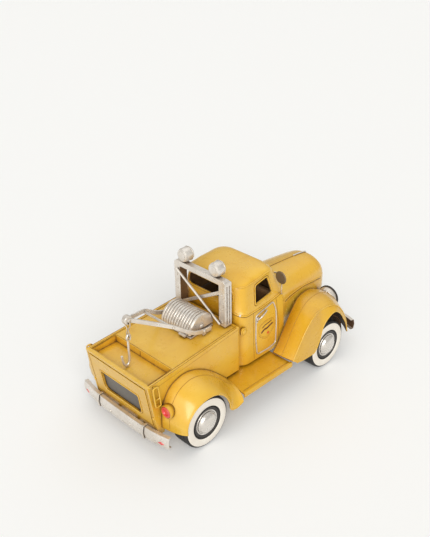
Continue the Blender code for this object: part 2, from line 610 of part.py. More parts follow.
# ----------------------------------------------------------------------------- bed
def build_bed():
    (ut, zt), (ub, zb) = BED_TAIL_TOP, BED_TAIL_BOT
    side = [(BED_FRONT, 1.22), (BED_FRONT, BED_RAIL_FRONT_Z), (ut, zt), (ub, zb), (-1.04, zb), (-0.86, 1.22)]
    bed = prism("bed_body", side, "w", -BED_W, BED_W, YELLOW)
    t = 0.06
    inner = [(BED_FRONT - t, 1.22 + t), (BED_FRONT - t, BED_RAIL_FRONT_Z - t), (ut + t, zt - t), (tail_u(zb - 0.5) + t, zb - 0.5),
             (-0.80, zb - 0.5), (-0.80, 1.22 + t)]
    cuts = [prism("v1", inner, "w", -BED_W + t, BED_W - t, YELLOW)]
    cuts.append(block("v2", ut + RAIL, BED_FRONT - 0.10, -BED_W + RAIL, BED_W - RAIL, 2.4, 3.6, YELLOW))
    # tailgate opening above the sill, and the slot under the sill that the bumper irons pass through
    for i, (z0, z1) in enumerate(((0.955, 2.63), (0.50, 0.655))):
        rear = [(-1.48, z0), (1.48, z0), (1.48, z1), (-1.48, z1)]
        cuts.append(prism("v3%d" % i, rear, "u", -2.2, -1.14, YELLOW))
    boolean(bed, cuts, "DIFFERENCE")
    # deck plate with the sunken well behind it
    g = GAP
    w = BED_W - RAIL - g
    u0, u1 = ut + RAIL + g, BED_FRONT - 0.10 - g
    k = 0.045
    zf = rail_z(WELL_FRONT) - 0.02 - WELL_DEPTH
    zr = rail_z(u0) - WELL_DEPTH + 0.02
    prof = [(u0, rail_z(u0) - 0.04), (u0, zr - k), (WELL_FRONT + k, zf - k), (WELL_FRONT + k, rail_z(WELL_FRONT + k) - 0.02 - k),
            (u1, rail_z(u1) - 0.02 - k), (u1, rail_z(u1) - 0.02), (WELL_FRONT, rail_z(WELL_FRONT) - 0.02), (WELL_FRONT, zf),
            (u0 + k, zr), (u0 + k, rail_z(u0) - 0.04)]
    deck = prism("bed_deck", prof, "w", -w, w, YELLOW)
    walls = []
    for s in (-1, 1):
        wall = [(u0 + 0.01, zr - k * 0.5), (WELL_FRONT + 0.02, zf - k * 0.5), (WELL_FRONT + 0.02, rail_z(WELL_FRONT) - 0.03),
                (u0 + 0.01, rail_z(u0) - 0.05)]
        walls.append(prism("w%d" % s, wall, "w", s * (w - k), s * (w - 0.004), YELLOW))
    boolean(deck, walls, "UNION")
    # drop tailgate, lying in the plane of the tail, and its dark panel
    zh = 0.98
    zt2 = 2.63 - g * 1.5
    def leaf(z, off):
        return (tail_u(z) - 0.025 + off, z)
    th = 0.07
    gate = prism("tailgate", [leaf(zh, 0), leaf(zh, th), leaf(zt2, th), leaf(zt2, 0)], "w", -1.48 + g, 1.48 - g, YELLOW)
    win = rounded([(-0.97, 1.36), (-0.86, 1.24), (0.86, 1.24), (0.97, 1.36), (0.97, 2.07), (-0.97, 2.07)], 0.08)
    boolean(gate, [prism("gw", win, "u", -2.2, -0.9, YELLOW)], "DIFFERENCE")
    set_origin(gate, P(tail_u(zh) + 0.01, 0, zh))
    pan = prism("tailgate_panel", [leaf(1.12, th + g), leaf(1.12, th + g + 0.03), leaf(2.20, th + g + 0.03), leaf(2.22, th + g)],
                "w", -1.10, 1.10, GREY)
    set_origin(pan, P(tail_u(zh) + 0.01, 0, zh))
    # raised tie loops on the rear corners of the bed sides: an upright frame on two stand-offs
    for nm, s in (("tie_loop_right", 1), ("tie_loop_left", -1)):
        wo = BED_W + 0.115
        z0, z1 = 1.92, 2.74

        def uc(z):
            return -1.335 - (z - 1.92) * 0.11
        a = 0.115
        pts = [(uc(z0) + 0.9 * a, wo, z0 + 0.03), (uc(z0) + 0.4 * a, wo, z0), (uc(z0) - 0.4 * a, wo, z0), (uc(z0) - 0.9 * a, wo, z0 + 0.03),
               (uc(z0 + 0.12) - a, wo, z0 + 0.12), (uc(z1 - 0.12) - a, wo, z1 - 0.12), (uc(z1) - 0.9 * a, wo, z1 - 0.03),
               (uc(z1) - 0.4 * a, wo, z1), (uc(z1) + 0.4 * a, wo, z1), (uc(z1) + 0.9 * a, wo, z1 - 0.03),
               (uc(z1 - 0.12) + a, wo, z1 - 0.12), (uc(z0 + 0.12) + a, wo, z0 + 0.12)]
        loop = tube(nm, [(u, s * w, z) for u, w, z in pts], 0.03, 6, YELLOW, closed=True)
        zm = 2.24
        bars = [tube("l1", [(uc(zm) - a, s * wo, zm), (uc(zm) + a, s * wo, zm)], 0.024, 6, YELLOW)]
        for i, zz in enumerate((z0 + 0.01, z1 - 0.01)):
            bars.append(block("l2%d" % i, uc(zz) - 0.03, uc(zz) + 0.03, s * (BED_W + GAP), s * wo, zz - 0.022, zz + 0.022, YELLOW))
        boolean(loop, bars, "UNION")


# ----------------------------------------------------------------------------- running boards
def build_boards():
    for nm, s in (("running_board_right", 1), ("running_board_left", -1)):
        sec = [(1.20, 1.13), (1.70, 1.13), (2.56, 1.065), (2.58, 1.11), (2.66, 1.105), (2.68, 1.065), (2.68, 0.915), (2.63, 0.915),
               (2.63, 1.005), (1.70, 1.065), (1.20, 1.065)]
        r0 = [P(2.10 - max(w - 1.65, 0.0) * 0.12, s * w, z) for w, z in sec]
        r1 = [P(4.60 + max(w - 1.70, 0.0) * 0.06, s * w, z) for w, z in sec]
        loft(nm, [r0, r1], YELLOW)


# ----------------------------------------------------------------------------- mast, lamps, winch, boom
def build_recovery_gear():
    zb = rail_z(MAST_U0) + 0.02
    # mast: two posts and a beam cut from one outline, with the front top edge chamfered
    o = [(-MAST_W, zb + 0.02), (MAST_W, zb + 0.02), (MAST_W, MAST_TOP - 0.10), (MAST_W - 0.10, MAST_TOP), (-MAST_W + 0.10, MAST_TOP),
         (-MAST_W, MAST_TOP - 0.10)]
    mast = prism("mast_frame", o, "u", MAST_U0, MAST_U1, SILVER)
    hole = prism("mh", [(-1.02, 2.5), (1.02, 2.5), (1.02, 4.80), (-1.02, 4.80)], "u", 2.0, 3.0, SILVER)
    cham = prism("mc", [(MAST_U1 - 0.16, MAST_TOP + 0.05), (MAST_U1 + 0.1, MAST_TOP + 0.05), (MAST_U1 + 0.1, MAST_TOP - 0.24)],
                 "w", -2, 2, SILVER)
    boolean(mast, [hole, cham], "DIFFERENCE")
    flutes = []
    for s in (-1, 1):
        for j in range(2):
            uu = MAST_U0 + 0.09 + 0.13 * j
            flutes.append(block("f%d%d" % (s, j), uu, uu + 0.06, s * (MAST_W - 0.035), s * (MAST_W + 0.1), zb + 0.10, 4.78, SILVER))
    boolean(mast, flutes, "DIFFERENCE")
    # braces: a round rod in front of a flat strip, both across the opening
    tube("mast_brace_rod", [(MAST_U0 - 0.062, -1.13, 4.70), (MAST_U0 - 0.062, 1.13, 3.22)], 0.045, 8, SILVER)
    a, b = Vector((-1.01 + 2 * GAP, 3.30)), Vector((1.01 - 2 * GAP, 4.44))
    h = 0.075
    o = [(a.x, a.y - h), (a.x, a.y + h), (b.x, b.y + h), (b.x, b.y - h)]
    prism("mast_brace_strip", o, "u", MAST_U0 + 0.05, MAST_U0 + 0.10, SILVER)
    # work lamps: short drums on feet
    for nm, w in (("work_lamp_right", 0.82), ("work_lamp_left", -0.82)):
        body = [(0.0, -0.25), (0.20, -0.25), (0.25, -0.22), (0.27, -0.15), (0.27, 0.10), (0.25, 0.16), (0.19, 0.19), (0.0, 0.20)]
        lamp = lathe(nm, body, "u", (2.54, w, 5.33), 22, SILVER)
        foot = prism("ft" + nm, [(w - 0.09, MAST_TOP + GAP), (w + 0.09, MAST_TOP + GAP), (w + 0.07, 5.14), (w - 0.07, 5.14)],
                     "u", 2.46, 2.56, SILVER)
        boolean(lamp, [foot], "UNION")
    # winch: a ribbed half barrel on a base plate
    def deck_z(u):
        return rail_z(u) - 0.02
    uc, rd, hw = 1.715, 0.60, 0.78
    base = [(1.12, deck_z(1.12) + GAP), (2.24, deck_z(2.24) + GAP), (2.24, deck_z(2.24) + 0.07), (1.12, deck_z(1.12) + 0.07)]
    prism("winch_base", base, "w", -0.82, 0.82, SILVER)
    rings = []
    ribs = 12
    step = 2 * hw / ribs
    for i in range(ribs):
        x0 = -hw + i * step
        for (dx, rr) in ((0.0, -0.045), (0.22, 0.0), (0.78, 0.0)):
            rings.append((x0 + dx * step, rd + rr))
    rings.append((hw, rd - 0.045))
    rr = []
    for (w, r) in rings:
        ring = []
        for k in range(15):
            a = math.pi * k / 14
            u = uc + r * math.cos(a)
            z = 3.035 + (deck_z(uc) - 3.035) + 0.075 + 2 * GAP + 0.03 + r * math.sin(a) + (u - uc) * 0.0845
            ring.append(P(u, w, z))
        rr.append(ring)
    loft("winch_drum", rr, SILVER, smooth_angle=25)
    # boom: two flat arms that bow up from the winch base and meet at the tip, a cross strut, and a sheave eye
    def arm(s, nm):
        pts = smooth_path([(1.98, s * 0.985, 3.16), (1.62, s * 0.985, 3.19), (1.15, s * 0.985, 3.33), (0.72, s * 0.90, 3.60),
                           (0.36, s * 0.76, 3.84), (-0.30, s * 0.40, 4.13), (-0.94, s * 0.055, 4.40)], 3)
        return tube(nm, pts, 0, 0, SILVER, flat=(0.07, 0.15))
    boom = arm(1, "boom_frame")
    tu, tw, tz = BOOM_TIP
    eye = lathe("be", [(0.0, -0.10), (0.15, -0.10), (0.17, -0.07), (0.17, 0.07), (0.15, 0.10), (0.0, 0.10)], "w", BOOM_TIP, 18, SILVER)
    strut = tube("bs", [(0.36, -0.77, 3.80), (0.36, 0.77, 3.80)], 0.05, 8, SILVER)
    shaft = tube("bt", [(1.0, -0.985, 3.235 + 0.13), (1.0, -0.93, 3.235 + 0.13)], 0.05, 8, SILVER)
    feet = []
    for s in (-1, 1):
        feet.append(block("bf%d" % s, 1.55, 1.70, s * 0.95, s * 1.02, deck_z(1.7) + 0.015, 3.22, SILVER))
    boolean(boom, [arm(-1, "ba"), eye, strut] + feet, "UNION")
    bpy.data.objects.remove(shaft, do_unlink=True)
    hole = lathe("bh", [(0.0, -0.4), (0.06, -0.4), (0.06, 0.4), (0.0, 0.4)], "w", (tu, 0, tz - 0.07), 12, SILVER)
    boolean(boom, [hole], "DIFFERENCE")


# ----------------------------------------------------------------------------- hanging pieces
HOOK_EYE = (-1.00, 0.0, 3.80)


def build_hook():
    tu, tw, tz = BOOM_TIP
    r = 0.022
    # wire: a square loop through the boss, a doubled run and a lower loop, all one closed wire
    ez = HOOK_EYE[2]
    half = [(0.0, tz - 0.065), (0.125, tz - 0.068), (0.142, tz - 0.10), (0.142, tz - 0.21), (0.10, tz - 0.29), (0.034, tz - 0.37),
            (0.030, ez + 0.16), (0.070, ez + 0.07), (0.078, ez + 0.01), (0.062, ez - 0.05), (0.0, ez - 0.075)]
    path = [(tu, w, z) for w, z in half] + [(tu, -w, z) for w, z in reversed(half[1:-1])]
    c = tube("hoist_wire", path, r, 6, SILVER, closed=True)
    set_origin(c, P(tu, 0, tz - 0.065))
    # hook: eye, shank and open bill, bent from round bar
    cz = ez - 0.120
    loop = [(tu + 0.075 * math.sin(a), 0.0, cz - 0.125 * math.cos(a)) for a in
            [math.radians(40 + 290 * k / 12) for k in range(13)]]
    bill = [(tu - 0.03, 0.0, cz - 0.26), (tu - 0.03, 0.0, cz - 0.54), (tu - 0.025, 0.0, cz - 0.80), (tu - 0.06, 0.0, cz - 0.98),
            (tu - 0.155, 0.0, cz - 1.06), (tu - 0.25, 0.0, cz - 1.00), (tu - 0.31, 0.0, cz - 0.83), (tu - 0.35, 0.0, cz - 0.60)]
    pts = smooth_path([loop[0], loop[3], loop[6], loop[9], loop[12]] + bill, 3)
    h = tube("tow_hook", pts, 0.042, 8, SILVER)
    set_origin(h, P(tu, 0, ez - 0.075))


# ----------------------------------------------------------------------------- bumpers and lights
def bumper(name, path, out, z0, z1):
    """Channel bar swept along a path of (u, w); out = +1 faces forward, -1 faces back."""
    h = z1 - z0
    sec = [(0.0, 0.0), (0.045, 0.5 * h), (0.0, h), (-0.15, h), (-0.15, h - 0.045), (-0.045, h - 0.045), (0.0, 0.5 * h),
           (-0.045, 0.045), (-0.15, 0.045), (-0.15, 0.0)]
    rings = []
    n = len(path)
    for i in range(n):
        d = Vector(path[min(i + 1, n - 1)]) - Vector(path[max(i - 1, 0)])
        nor = Vector((d.y, -d.x)).normalized()
        if nor.x * out < 0:
            nor = -nor
        rings.append([P(path[i][0] + nor.x * o, path[i][1] + nor.y * o, z0 + z) for o, z in sec])
    return loft(name, rings, SILVER, smooth_angle=25)


def build_bumpers_and_lights():
    bumper("rear_bumper", [(-1.44, -2.30), (-1.52, -1.95), (-1.58, -1.55), (-1.62, -1.05), (-1.63, 0.0), (-1.62, 1.05), (-1.58, 1.55),
                           (-1.52, 1.95), (-1.44, 2.30)], -1, 0.43, 0.90)
    bumper("front_bumper", [(9.08, -2.34), (9.18, -2.0), (9.26, -1.5), (9.32, -0.8), (9.335, 0.0), (9.32, 0.8), (9.26, 1.5),
                            (9.18, 2.0), (9.08, 2.34)], 1, 0.45, 0.90)
    for nm, s in (("bumper_guard_right", 1), ("bumper_guard_left", -1)):
        # strap that wraps the bar
        g = 0.012
        f = -1.615
        o = [(f + 0.17, 0.90 + g + 0.035), (f, 0.90 + g + 0.035), (f - 0.045, 0.90), (f - 0.083, 0.665), (f - 0.045, 0.41),
             (f - 0.01, 0.38), (f + 0.06, 0.40), (f - g, 0.43 - g), (f - 0.045 - g, 0.665), (f - g, 0.90 + g), (f + 0.17, 0.90 + g)]
        prism(nm, o, "w", s * 1.17, s * 1.25, SILVER)
    for nm, s in (("right", 1), ("left", -1)):
        c = (8.21, s * 1.50, 2.02)
        prof = [(0.0, -0.78), (0.14, -0.74), (0.28, -0.60), (0.39, -0.38), (0.44, -0.12), (0.45, 0.0), (0.45, 0.06), (0.485, 0.06),
                (0.485, 0.13), (0.44, 0.15), (0.42, 0.09), (0.0, 0.07)]
        for ob in (lathe("headlight_" + nm, prof, "u", c, 24, SILVER),
                   lathe("headlight_lens_" + nm, [(0.0, 0.07 + GAP), (0.40, 0.09 + GAP), (0.41, 0.12), (0.30, 0.17), (0.15, 0.20), (0.0, 0.21)],
                         "u", c, 20, GLASS)):
            wide = [[r[0] + (r[0] - r[1]).normalized() * 0.14 * TYRE_R] + r for r in front_grid[nm]]
            boolean(ob, [sheet("hc", wide, SHEET + GAP, YELLOW, flip=(s > 0), lift=GAP)], "DIFFERENCE")
            keep_piece(ob, (0, -0.3, 1))
        # tail lamps stick out of the rear fenders
        c = (-1.18, s * 1.925, 1.67)
        lamp = lathe("tail_lamp_" + nm, [(0.0, 0.08), (0.220, 0.08), (0.220, 0.0), (0.252, 0.0), (0.260, 0.06), (0.260, 0.62), (0.0, 0.62)],
                     "u", c, 20, YELLOW)
        boolean(lamp, [sheet("tc", rear_grid[nm], SHEET + GAP, YELLOW, flip=(s > 0), lift=GAP)], "DIFFERENCE")
        keep_piece(lamp, (0, 1, 0))
        lathe("tail_lens_" + nm, [(0.0, 0.03), (0.11, 0.03), (0.135, -0.02), (0.188, -0.02), (0.208, 0.0), (0.208, 0.08 - GAP),
                                  (0.0, 0.08 - GAP)], "u", c, 18, RED)
    # round mirror on a bent wire stay, right side only
    disc = lathe("side_mirror_right", [(0.0, -0.03), (0.22, -0.03), (0.26, 0.0), (0.22, 0.04), (0.12, 0.07), (0.0, 0.08)],
                 "u", (4.86, 1.80, 4.40), 20, SILVER)
    stay = [tube("ms1", [(4.90, 1.80, 4.38), (4.96, 1.76, 3.95), (5.10, 1.64, 3.60), (5.24, 1.54, 3.44)], 0.03, 6, SILVER),
            tube("ms2", [(4.90, 1.80, 4.42), (4.90, 1.58, 4.50), (4.86, 1.46, 4.50)], 0.03, 6, SILVER)]
    boolean(disc, stay, "UNION")


# ----------------------------------------------------------------------------- build everything
rear_grid, front_grid = {}, {}
build_chassis()
for tag, u, s in (("front_right", WHEELBASE, 1), ("front_left", WHEELBASE, -1), ("rear_right", 0.0, 1), ("rear_left", 0.0, -1)):
    build_wheel(tag, u, s)
for side_name, s in (("right", 1), ("left", -1)):
    rear_grid[side_name] = fender("rear_fender_" + side_name, s, REAR_SEAM, REAR_EDGE, [BED_W + GAP] * len(REAR_SEAM), FENDER_W + 0.06, REAR_POWER, 3, 7)
    front_grid[side_name] = front_fender("front_fender_" + side_name, s, 3, 6)
build_cab()
build_hood()
build_bed()
build_boards()
build_recovery_gear()
build_hook()
build_bumpers_and_lights()
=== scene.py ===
# Looks of the toy tow truck: fine surfaces, paint, trim, studio and camera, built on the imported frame.
import bpy
import bmesh
import json
import math
from mathutils import Vector, Matrix
from mathutils.bvhtree import BVHTree

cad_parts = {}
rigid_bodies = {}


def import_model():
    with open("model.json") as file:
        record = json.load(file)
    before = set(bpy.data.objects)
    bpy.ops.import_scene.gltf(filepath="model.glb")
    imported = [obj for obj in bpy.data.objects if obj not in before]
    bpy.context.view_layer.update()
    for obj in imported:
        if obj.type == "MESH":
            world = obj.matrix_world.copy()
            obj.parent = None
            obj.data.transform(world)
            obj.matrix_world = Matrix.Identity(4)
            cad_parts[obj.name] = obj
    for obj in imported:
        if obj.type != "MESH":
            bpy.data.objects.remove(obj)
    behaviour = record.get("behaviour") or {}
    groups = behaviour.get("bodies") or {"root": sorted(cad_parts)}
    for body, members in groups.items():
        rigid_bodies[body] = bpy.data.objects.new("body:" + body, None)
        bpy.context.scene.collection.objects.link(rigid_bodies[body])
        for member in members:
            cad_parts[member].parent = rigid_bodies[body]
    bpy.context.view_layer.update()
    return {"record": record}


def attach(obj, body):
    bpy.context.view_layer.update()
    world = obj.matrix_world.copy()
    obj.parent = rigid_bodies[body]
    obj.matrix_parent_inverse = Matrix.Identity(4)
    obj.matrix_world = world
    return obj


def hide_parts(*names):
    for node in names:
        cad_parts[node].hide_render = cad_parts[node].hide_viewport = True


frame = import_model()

# ----------------------------------------------------------------------------- driving dimensions
TYRE_R = 0.028            # tyre radius, the unit of everything below
WHEELBASE = 6.72
TRACK_OUT = 2.68          # outer face of the tyres from the middle
TYRE_W = 0.80             # tyre width
HUB_Z = 1.0
REAR_U = -1.81            # rearmost point (bumper guards)
FRONT_U = 9.29            # foremost point (front bumper)
UC = (REAR_U + FRONT_U) / 2.0
GAP = 0.0003 / TYRE_R     # clearance between touching pieces
SHEET = 0.05              # sheet-metal thickness
BODY_DU = -0.112          # body datum, forward of the rear axle
BODY_DZ = 0.136           # body datum, above the ground

BED_W = 1.65              # half width of the bed
BED_FRONT = 2.77
BED_TAIL_TOP = (-1.66, 2.76)
BED_TAIL_BOT = (-1.31, 0.59)
BED_RAIL_FRONT_Z = 3.13
RAIL = 0.13               # width of the top rails
WELL_FRONT = -0.45
WELL_DEPTH = 0.26

FENDER_W = 2.71           # outer face of the fenders
MAST_U0, MAST_U1 = 2.36, 2.72
MAST_W = 1.33
MAST_TOP = 5.02
BOOM_TIP = (-1.00, 0.0, 4.42)
TAPER = 0.045             # the body widens by this much from the front of the bed to its tail


def W(u, w, z):
    """World point from running-gear values."""
    return Vector((-w * TYRE_R, (UC - u) * TYRE_R, z * TYRE_R))


def P(u, w, z):
    """World point from body values; the bed widens a little towards the tail."""
    k = 1.0 + TAPER * min(max((BED_FRONT - u) / 4.43, 0.0), 1.1)
    return W(u + BODY_DU, w * k, z + BODY_DZ)



# ----------------------------------------------------------------------------- paints
def srgb(r, g, b):
    def lin(c):
        c = c / 255.0
        return c / 12.92 if c <= 0.04045 else ((c + 0.055) / 1.055) ** 2.4
    return (lin(r), lin(g), lin(b), 1.0)


def paint(name, light, base, deep, wash_and_shade_colour, rough=0.42, metal=0.0, ao=0.0055, wash_and_shade_amount=0.9, coat=0.0, streak=0.5, grain=0.35,
          bump=0.25, spec=0.5, patch=28.0, speck=0.0, far=0.0, hollow_shade_tint=(0.55, 0.42, 0.22, 1.0)):
    """Layered paint: cloudy colour, brush streaks, a brown laid into corners and creases by ambient occlusion (partly
    the toy's antique finish in its seams, partly painted shade), optional wider painted shade in hollows, uneven gloss
    and a fine bump.
    """
    m = bpy.data.materials.new(name)
    m.use_nodes = True
    nt = m.node_tree
    N, L = nt.nodes, nt.links
    bsdf = N["Principled BSDF"]
    tc = N.new("ShaderNodeTexCoord")

    def noise(scale, detail=3.0, rough_=0.55, vec=None, dist=0.0):
        n = N.new("ShaderNodeTexNoise")
        n.inputs["Scale"].default_value = scale
        n.inputs["Detail"].default_value = detail
        n.inputs["Roughness"].default_value = rough_
        n.inputs["Distortion"].default_value = dist
        L.new(vec if vec else tc.outputs["Object"], n.inputs["Vector"])
        return n.outputs["Fac"]

    def ramp(fac, lo, hi):
        r = N.new("ShaderNodeMapRange")
        r.inputs["From Min"].default_value = lo
        r.inputs["From Max"].default_value = hi
        r.clamp = True
        L.new(fac, r.inputs["Value"])
        return r.outputs["Result"]

    def mix(fac, a, b, blend="MIX"):
        x = N.new("ShaderNodeMix")
        x.data_type = "RGBA"
        x.blend_type = blend
        if isinstance(fac, float):
            x.inputs[0].default_value = fac
        else:
            L.new(fac, x.inputs[0])
        for sock, v in ((x.inputs[6], a), (x.inputs[7], b)):
            if isinstance(v, tuple):
                sock.default_value = v
            else:
                L.new(v, sock)
        return x.outputs[2]

    def math_(op, a, b):
        x = N.new("ShaderNodeMath")
        x.operation = op
        x.use_clamp = True
        for i, v in enumerate((a, b)):
            if isinstance(v, (int, float)):
                x.inputs[i].default_value = v
            else:
                L.new(v, x.inputs[i])
        return x.outputs[0]

    cloud = noise(patch, 4.0)
    mp = N.new("ShaderNodeMapping")
    mp.inputs["Scale"].default_value = (1.0, 0.12, 1.0)
    L.new(tc.outputs["Object"], mp.inputs["Vector"])
    brush = noise(520.0, 2.0, 0.6, mp.outputs["Vector"])
    fine = noise(1500.0, 2.0, 0.6)
    c = mix(ramp(cloud, 0.35, 0.65), base, light)
    c = mix(math_("MULTIPLY", ramp(noise(patch * 2.3, 3.0, dist=0.6), 0.50, 0.78), 0.38), c, deep)
    c = mix(math_("MULTIPLY", ramp(brush, 0.50, 0.72), streak * 0.35), c, deep)
    # ambient occlusion lays the brown into corners and creases: partly the toy's antique finish, partly painted shade
    aon = N.new("ShaderNodeAmbientOcclusion")
    aon.inputs["Distance"].default_value = ao
    aon.samples = 6
    near = N.new("ShaderNodeMath")
    near.operation = "SUBTRACT"
    near.inputs[0].default_value = 1.0
    L.new(aon.outputs["AO"], near.inputs[1])
    shade = ramp(near.outputs[0], 0.16, 0.72)
    rag = ramp(noise(230.0, 4.0, 0.65), 0.25, 0.62)
    wash_and_shade = math_("MULTIPLY", math_("MULTIPLY", shade, rag), wash_and_shade_amount)
    wash_and_shade = math_("ADD", wash_and_shade, math_("MULTIPLY", ramp(near.outputs[0], 0.55, 0.95), wash_and_shade_amount * 0.5))
    if speck > 0.0:
        wash_and_shade = math_("ADD", wash_and_shade, math_("MULTIPLY", ramp(noise(650.0, 3.0, 0.7), 0.68, 0.76), speck))
    # wider ambient occlusion multiplies the tint into deep hollows: painted shade
    if far > 0.0:
        wide = N.new("ShaderNodeAmbientOcclusion")
        wide.inputs["Distance"].default_value = 0.030
        wide.samples = 5
        inv = N.new("ShaderNodeMath")
        inv.operation = "SUBTRACT"
        inv.inputs[0].default_value = 1.0
        L.new(wide.outputs["AO"], inv.inputs[1])
        c = mix(math_("MULTIPLY", ramp(inv.outputs[0], 0.12, 0.80), far), c, hollow_shade_tint, "MULTIPLY")
    c = mix(wash_and_shade, c, wash_and_shade_colour)
    L.new(c, bsdf.inputs["Base Color"])
    bsdf.inputs["Metallic"].default_value = metal
    bsdf.inputs["Specular IOR Level"].default_value = spec
    r = N.new("ShaderNodeMapRange")
    r.inputs["From Min"].default_value = 0.3
    r.inputs["From Max"].default_value = 0.7
    r.inputs["To Min"].default_value = rough - 0.08
    r.inputs["To Max"].default_value = rough + 0.10
    L.new(noise(90.0, 4.0, 0.6), r.inputs["Value"])
    r2 = N.new("ShaderNodeMath")
    r2.operation = "ADD"
    L.new(r.outputs["Result"], r2.inputs[0])
    L.new(math_("MULTIPLY", wash_and_shade, 0.3), r2.inputs[1])
    L.new(r2.outputs[0], bsdf.inputs["Roughness"])
    if coat > 0.0:
        bsdf.inputs["Coat Weight"].default_value = coat
        bsdf.inputs["Coat Roughness"].default_value = 0.18
    h = mix(0.5, brush, fine)
    h2 = mix(grain, h, noise(42.0, 2.0))
    bp = N.new("ShaderNodeBump")
    bp.inputs["Strength"].default_value = bump
    bp.inputs["Distance"].default_value = 0.00035
    L.new(h2, bp.inputs["Height"])
    L.new(bp.outputs["Normal"], bsdf.inputs["Normal"])
    m.diffuse_color = base
    return m


# brown of the antique finish in the seams, also the colour of the painted shade in corners and creases
BROWN_WASH_AND_SHADE = srgb(92, 56, 16)
YELLOW = paint("yellow_paint", srgb(232, 188, 70), srgb(227, 177, 48), srgb(206, 150, 24), BROWN_WASH_AND_SHADE, rough=0.30, coat=0.45, spec=0.5,
               wash_and_shade_amount=0.85, streak=0.25, patch=22.0, far=0.95, hollow_shade_tint=(0.72, 0.58, 0.22, 1.0))
# darker, more saturated copy of the yellow for the running boards and front fenders: painted shade
YELLOW_SHADED = paint("yellow_shaded", srgb(224, 175, 46), srgb(217, 164, 28), srgb(192, 134, 10), BROWN_WASH_AND_SHADE, rough=0.30, coat=0.45, spec=0.5,
                    wash_and_shade_amount=0.9, streak=0.35, patch=22.0, far=0.95, hollow_shade_tint=(0.66, 0.50, 0.16, 1.0))
SILVER = paint("silver_paint", srgb(237, 232, 225), srgb(221, 214, 204), srgb(184, 171, 153), srgb(84, 62, 42), rough=0.30, metal=0.55,
               wash_and_shade_amount=1.0, streak=0.7, bump=0.3, ao=0.0035, far=0.6, hollow_shade_tint=(0.62, 0.50, 0.38, 1.0))
CHROME = paint("hubcap_silver", srgb(232, 228, 222), srgb(214, 208, 200), srgb(184, 174, 162), srgb(92, 76, 62), rough=0.24, metal=0.6,
               wash_and_shade_amount=0.9, streak=0.4, bump=0.2, ao=0.004)
RUBBER = paint("black_rubber", srgb(58, 56, 54), srgb(46, 45, 44), srgb(36, 34, 33), srgb(20, 18, 17), rough=0.62, wash_and_shade_amount=0.5, spec=0.3)
WHITE = paint("white_band", srgb(246, 240, 229), srgb(240, 232, 219), srgb(228, 216, 198), srgb(150, 124, 98), rough=0.50, wash_and_shade_amount=0.6,
              streak=0.3, spec=0.35, ao=0.003)
BLACK = paint("black_paint", srgb(52, 47, 44), srgb(43, 39, 36), srgb(33, 29, 27), srgb(16, 13, 12), rough=0.45, wash_and_shade_amount=0.6)
# dark brown for the chassis, steering wheel and other dark parts; also the painted shade on inner, under and rear faces
# and in the wheel wells
DARK_AND_SHADE = paint("dark_underbody", srgb(96, 66, 34), srgb(76, 50, 26), srgb(56, 36, 20), srgb(24, 16, 10), rough=0.60, wash_and_shade_amount=0.7)
STEEL = paint("axle_steel", srgb(176, 172, 168), srgb(160, 156, 150), srgb(132, 126, 120), srgb(70, 58, 48), rough=0.35, metal=0.9)
GREY = paint("grey_panel", srgb(116, 112, 106), srgb(102, 98, 93), srgb(86, 81, 76), srgb(22, 19, 17), rough=0.5, wash_and_shade_amount=1.0, streak=1.0,
             ao=0.0060)
RED = paint("red_lens", srgb(238, 92, 86), srgb(222, 66, 64), srgb(192, 46, 46), srgb(120, 24, 22), rough=0.30, coat=0.5, ao=0.0016)
GLASS = paint("lamp_lens", srgb(226, 224, 214), srgb(206, 204, 194), srgb(176, 172, 160), srgb(90, 84, 74), rough=0.22, coat=0.6, metal=0.1)
BROWN = paint("brown_seat", srgb(104, 74, 48), srgb(84, 58, 37), srgb(62, 42, 26), srgb(26, 17, 10), rough=0.55)
# brown for the inside of the cab: painted shade
CAB_INSIDE_SHADE = paint("cab_inside_shade", srgb(124, 88, 48), srgb(98, 68, 38), srgb(70, 48, 28), srgb(24, 16, 9), rough=0.62)
MIRROR = paint("mirror_disc", srgb(120, 100, 76), srgb(98, 80, 60), srgb(76, 60, 44), srgb(40, 30, 22), rough=0.42, metal=0.2, streak=1.0)
WIRE = paint("wire_silver", srgb(212, 196, 172), srgb(188, 168, 140), srgb(150, 126, 96), srgb(84, 62, 42), rough=0.34, metal=0.5)
WASH = paint("brown_line", srgb(150, 102, 34), srgb(130, 86, 26), srgb(100, 62, 18), srgb(60, 34, 10), rough=0.6)
FAINT = paint("amber_line", srgb(190, 140, 46), srgb(178, 128, 38), srgb(158, 108, 30), srgb(90, 54, 16), rough=0.5)
SHADE = paint("shaded_silver", srgb(120, 92, 62), srgb(98, 72, 46), srgb(74, 52, 32), srgb(34, 22, 14), rough=0.5, metal=0.2)
BADGE_DARK = paint("badge_dark", srgb(122, 70, 40), srgb(100, 56, 32), srgb(76, 42, 26), srgb(40, 24, 16), rough=0.5)
BADGE_RED = paint("badge_red", srgb(226, 100, 52), srgb(214, 82, 44), srgb(186, 60, 34), srgb(120, 36, 20), rough=0.45)

# ----------------------------------------------------------------------------- modelling helpers
def add(name, verts, faces, mat, smooth_angle=35.0):
    me = bpy.data.meshes.new("v_" + name)
    me.from_pydata([tuple(v) for v in verts], [], faces)
    me.update()
    bm = bmesh.new()
    bm.from_mesh(me)
    bmesh.ops.remove_doubles(bm, verts=bm.verts, dist=1e-6)
    bmesh.ops.dissolve_degenerate(bm, edges=bm.edges, dist=1e-7)
    bmesh.ops.recalc_face_normals(bm, faces=bm.faces)
    bm.to_mesh(me)
    bm.free()
    me.materials.append(mat)
    me.shade_smooth()
    me.set_sharp_from_angle(angle=math.radians(smooth_angle))
    ob = bpy.data.objects.new("v_" + name, me)
    bpy.context.scene.collection.objects.link(ob)
    return ob


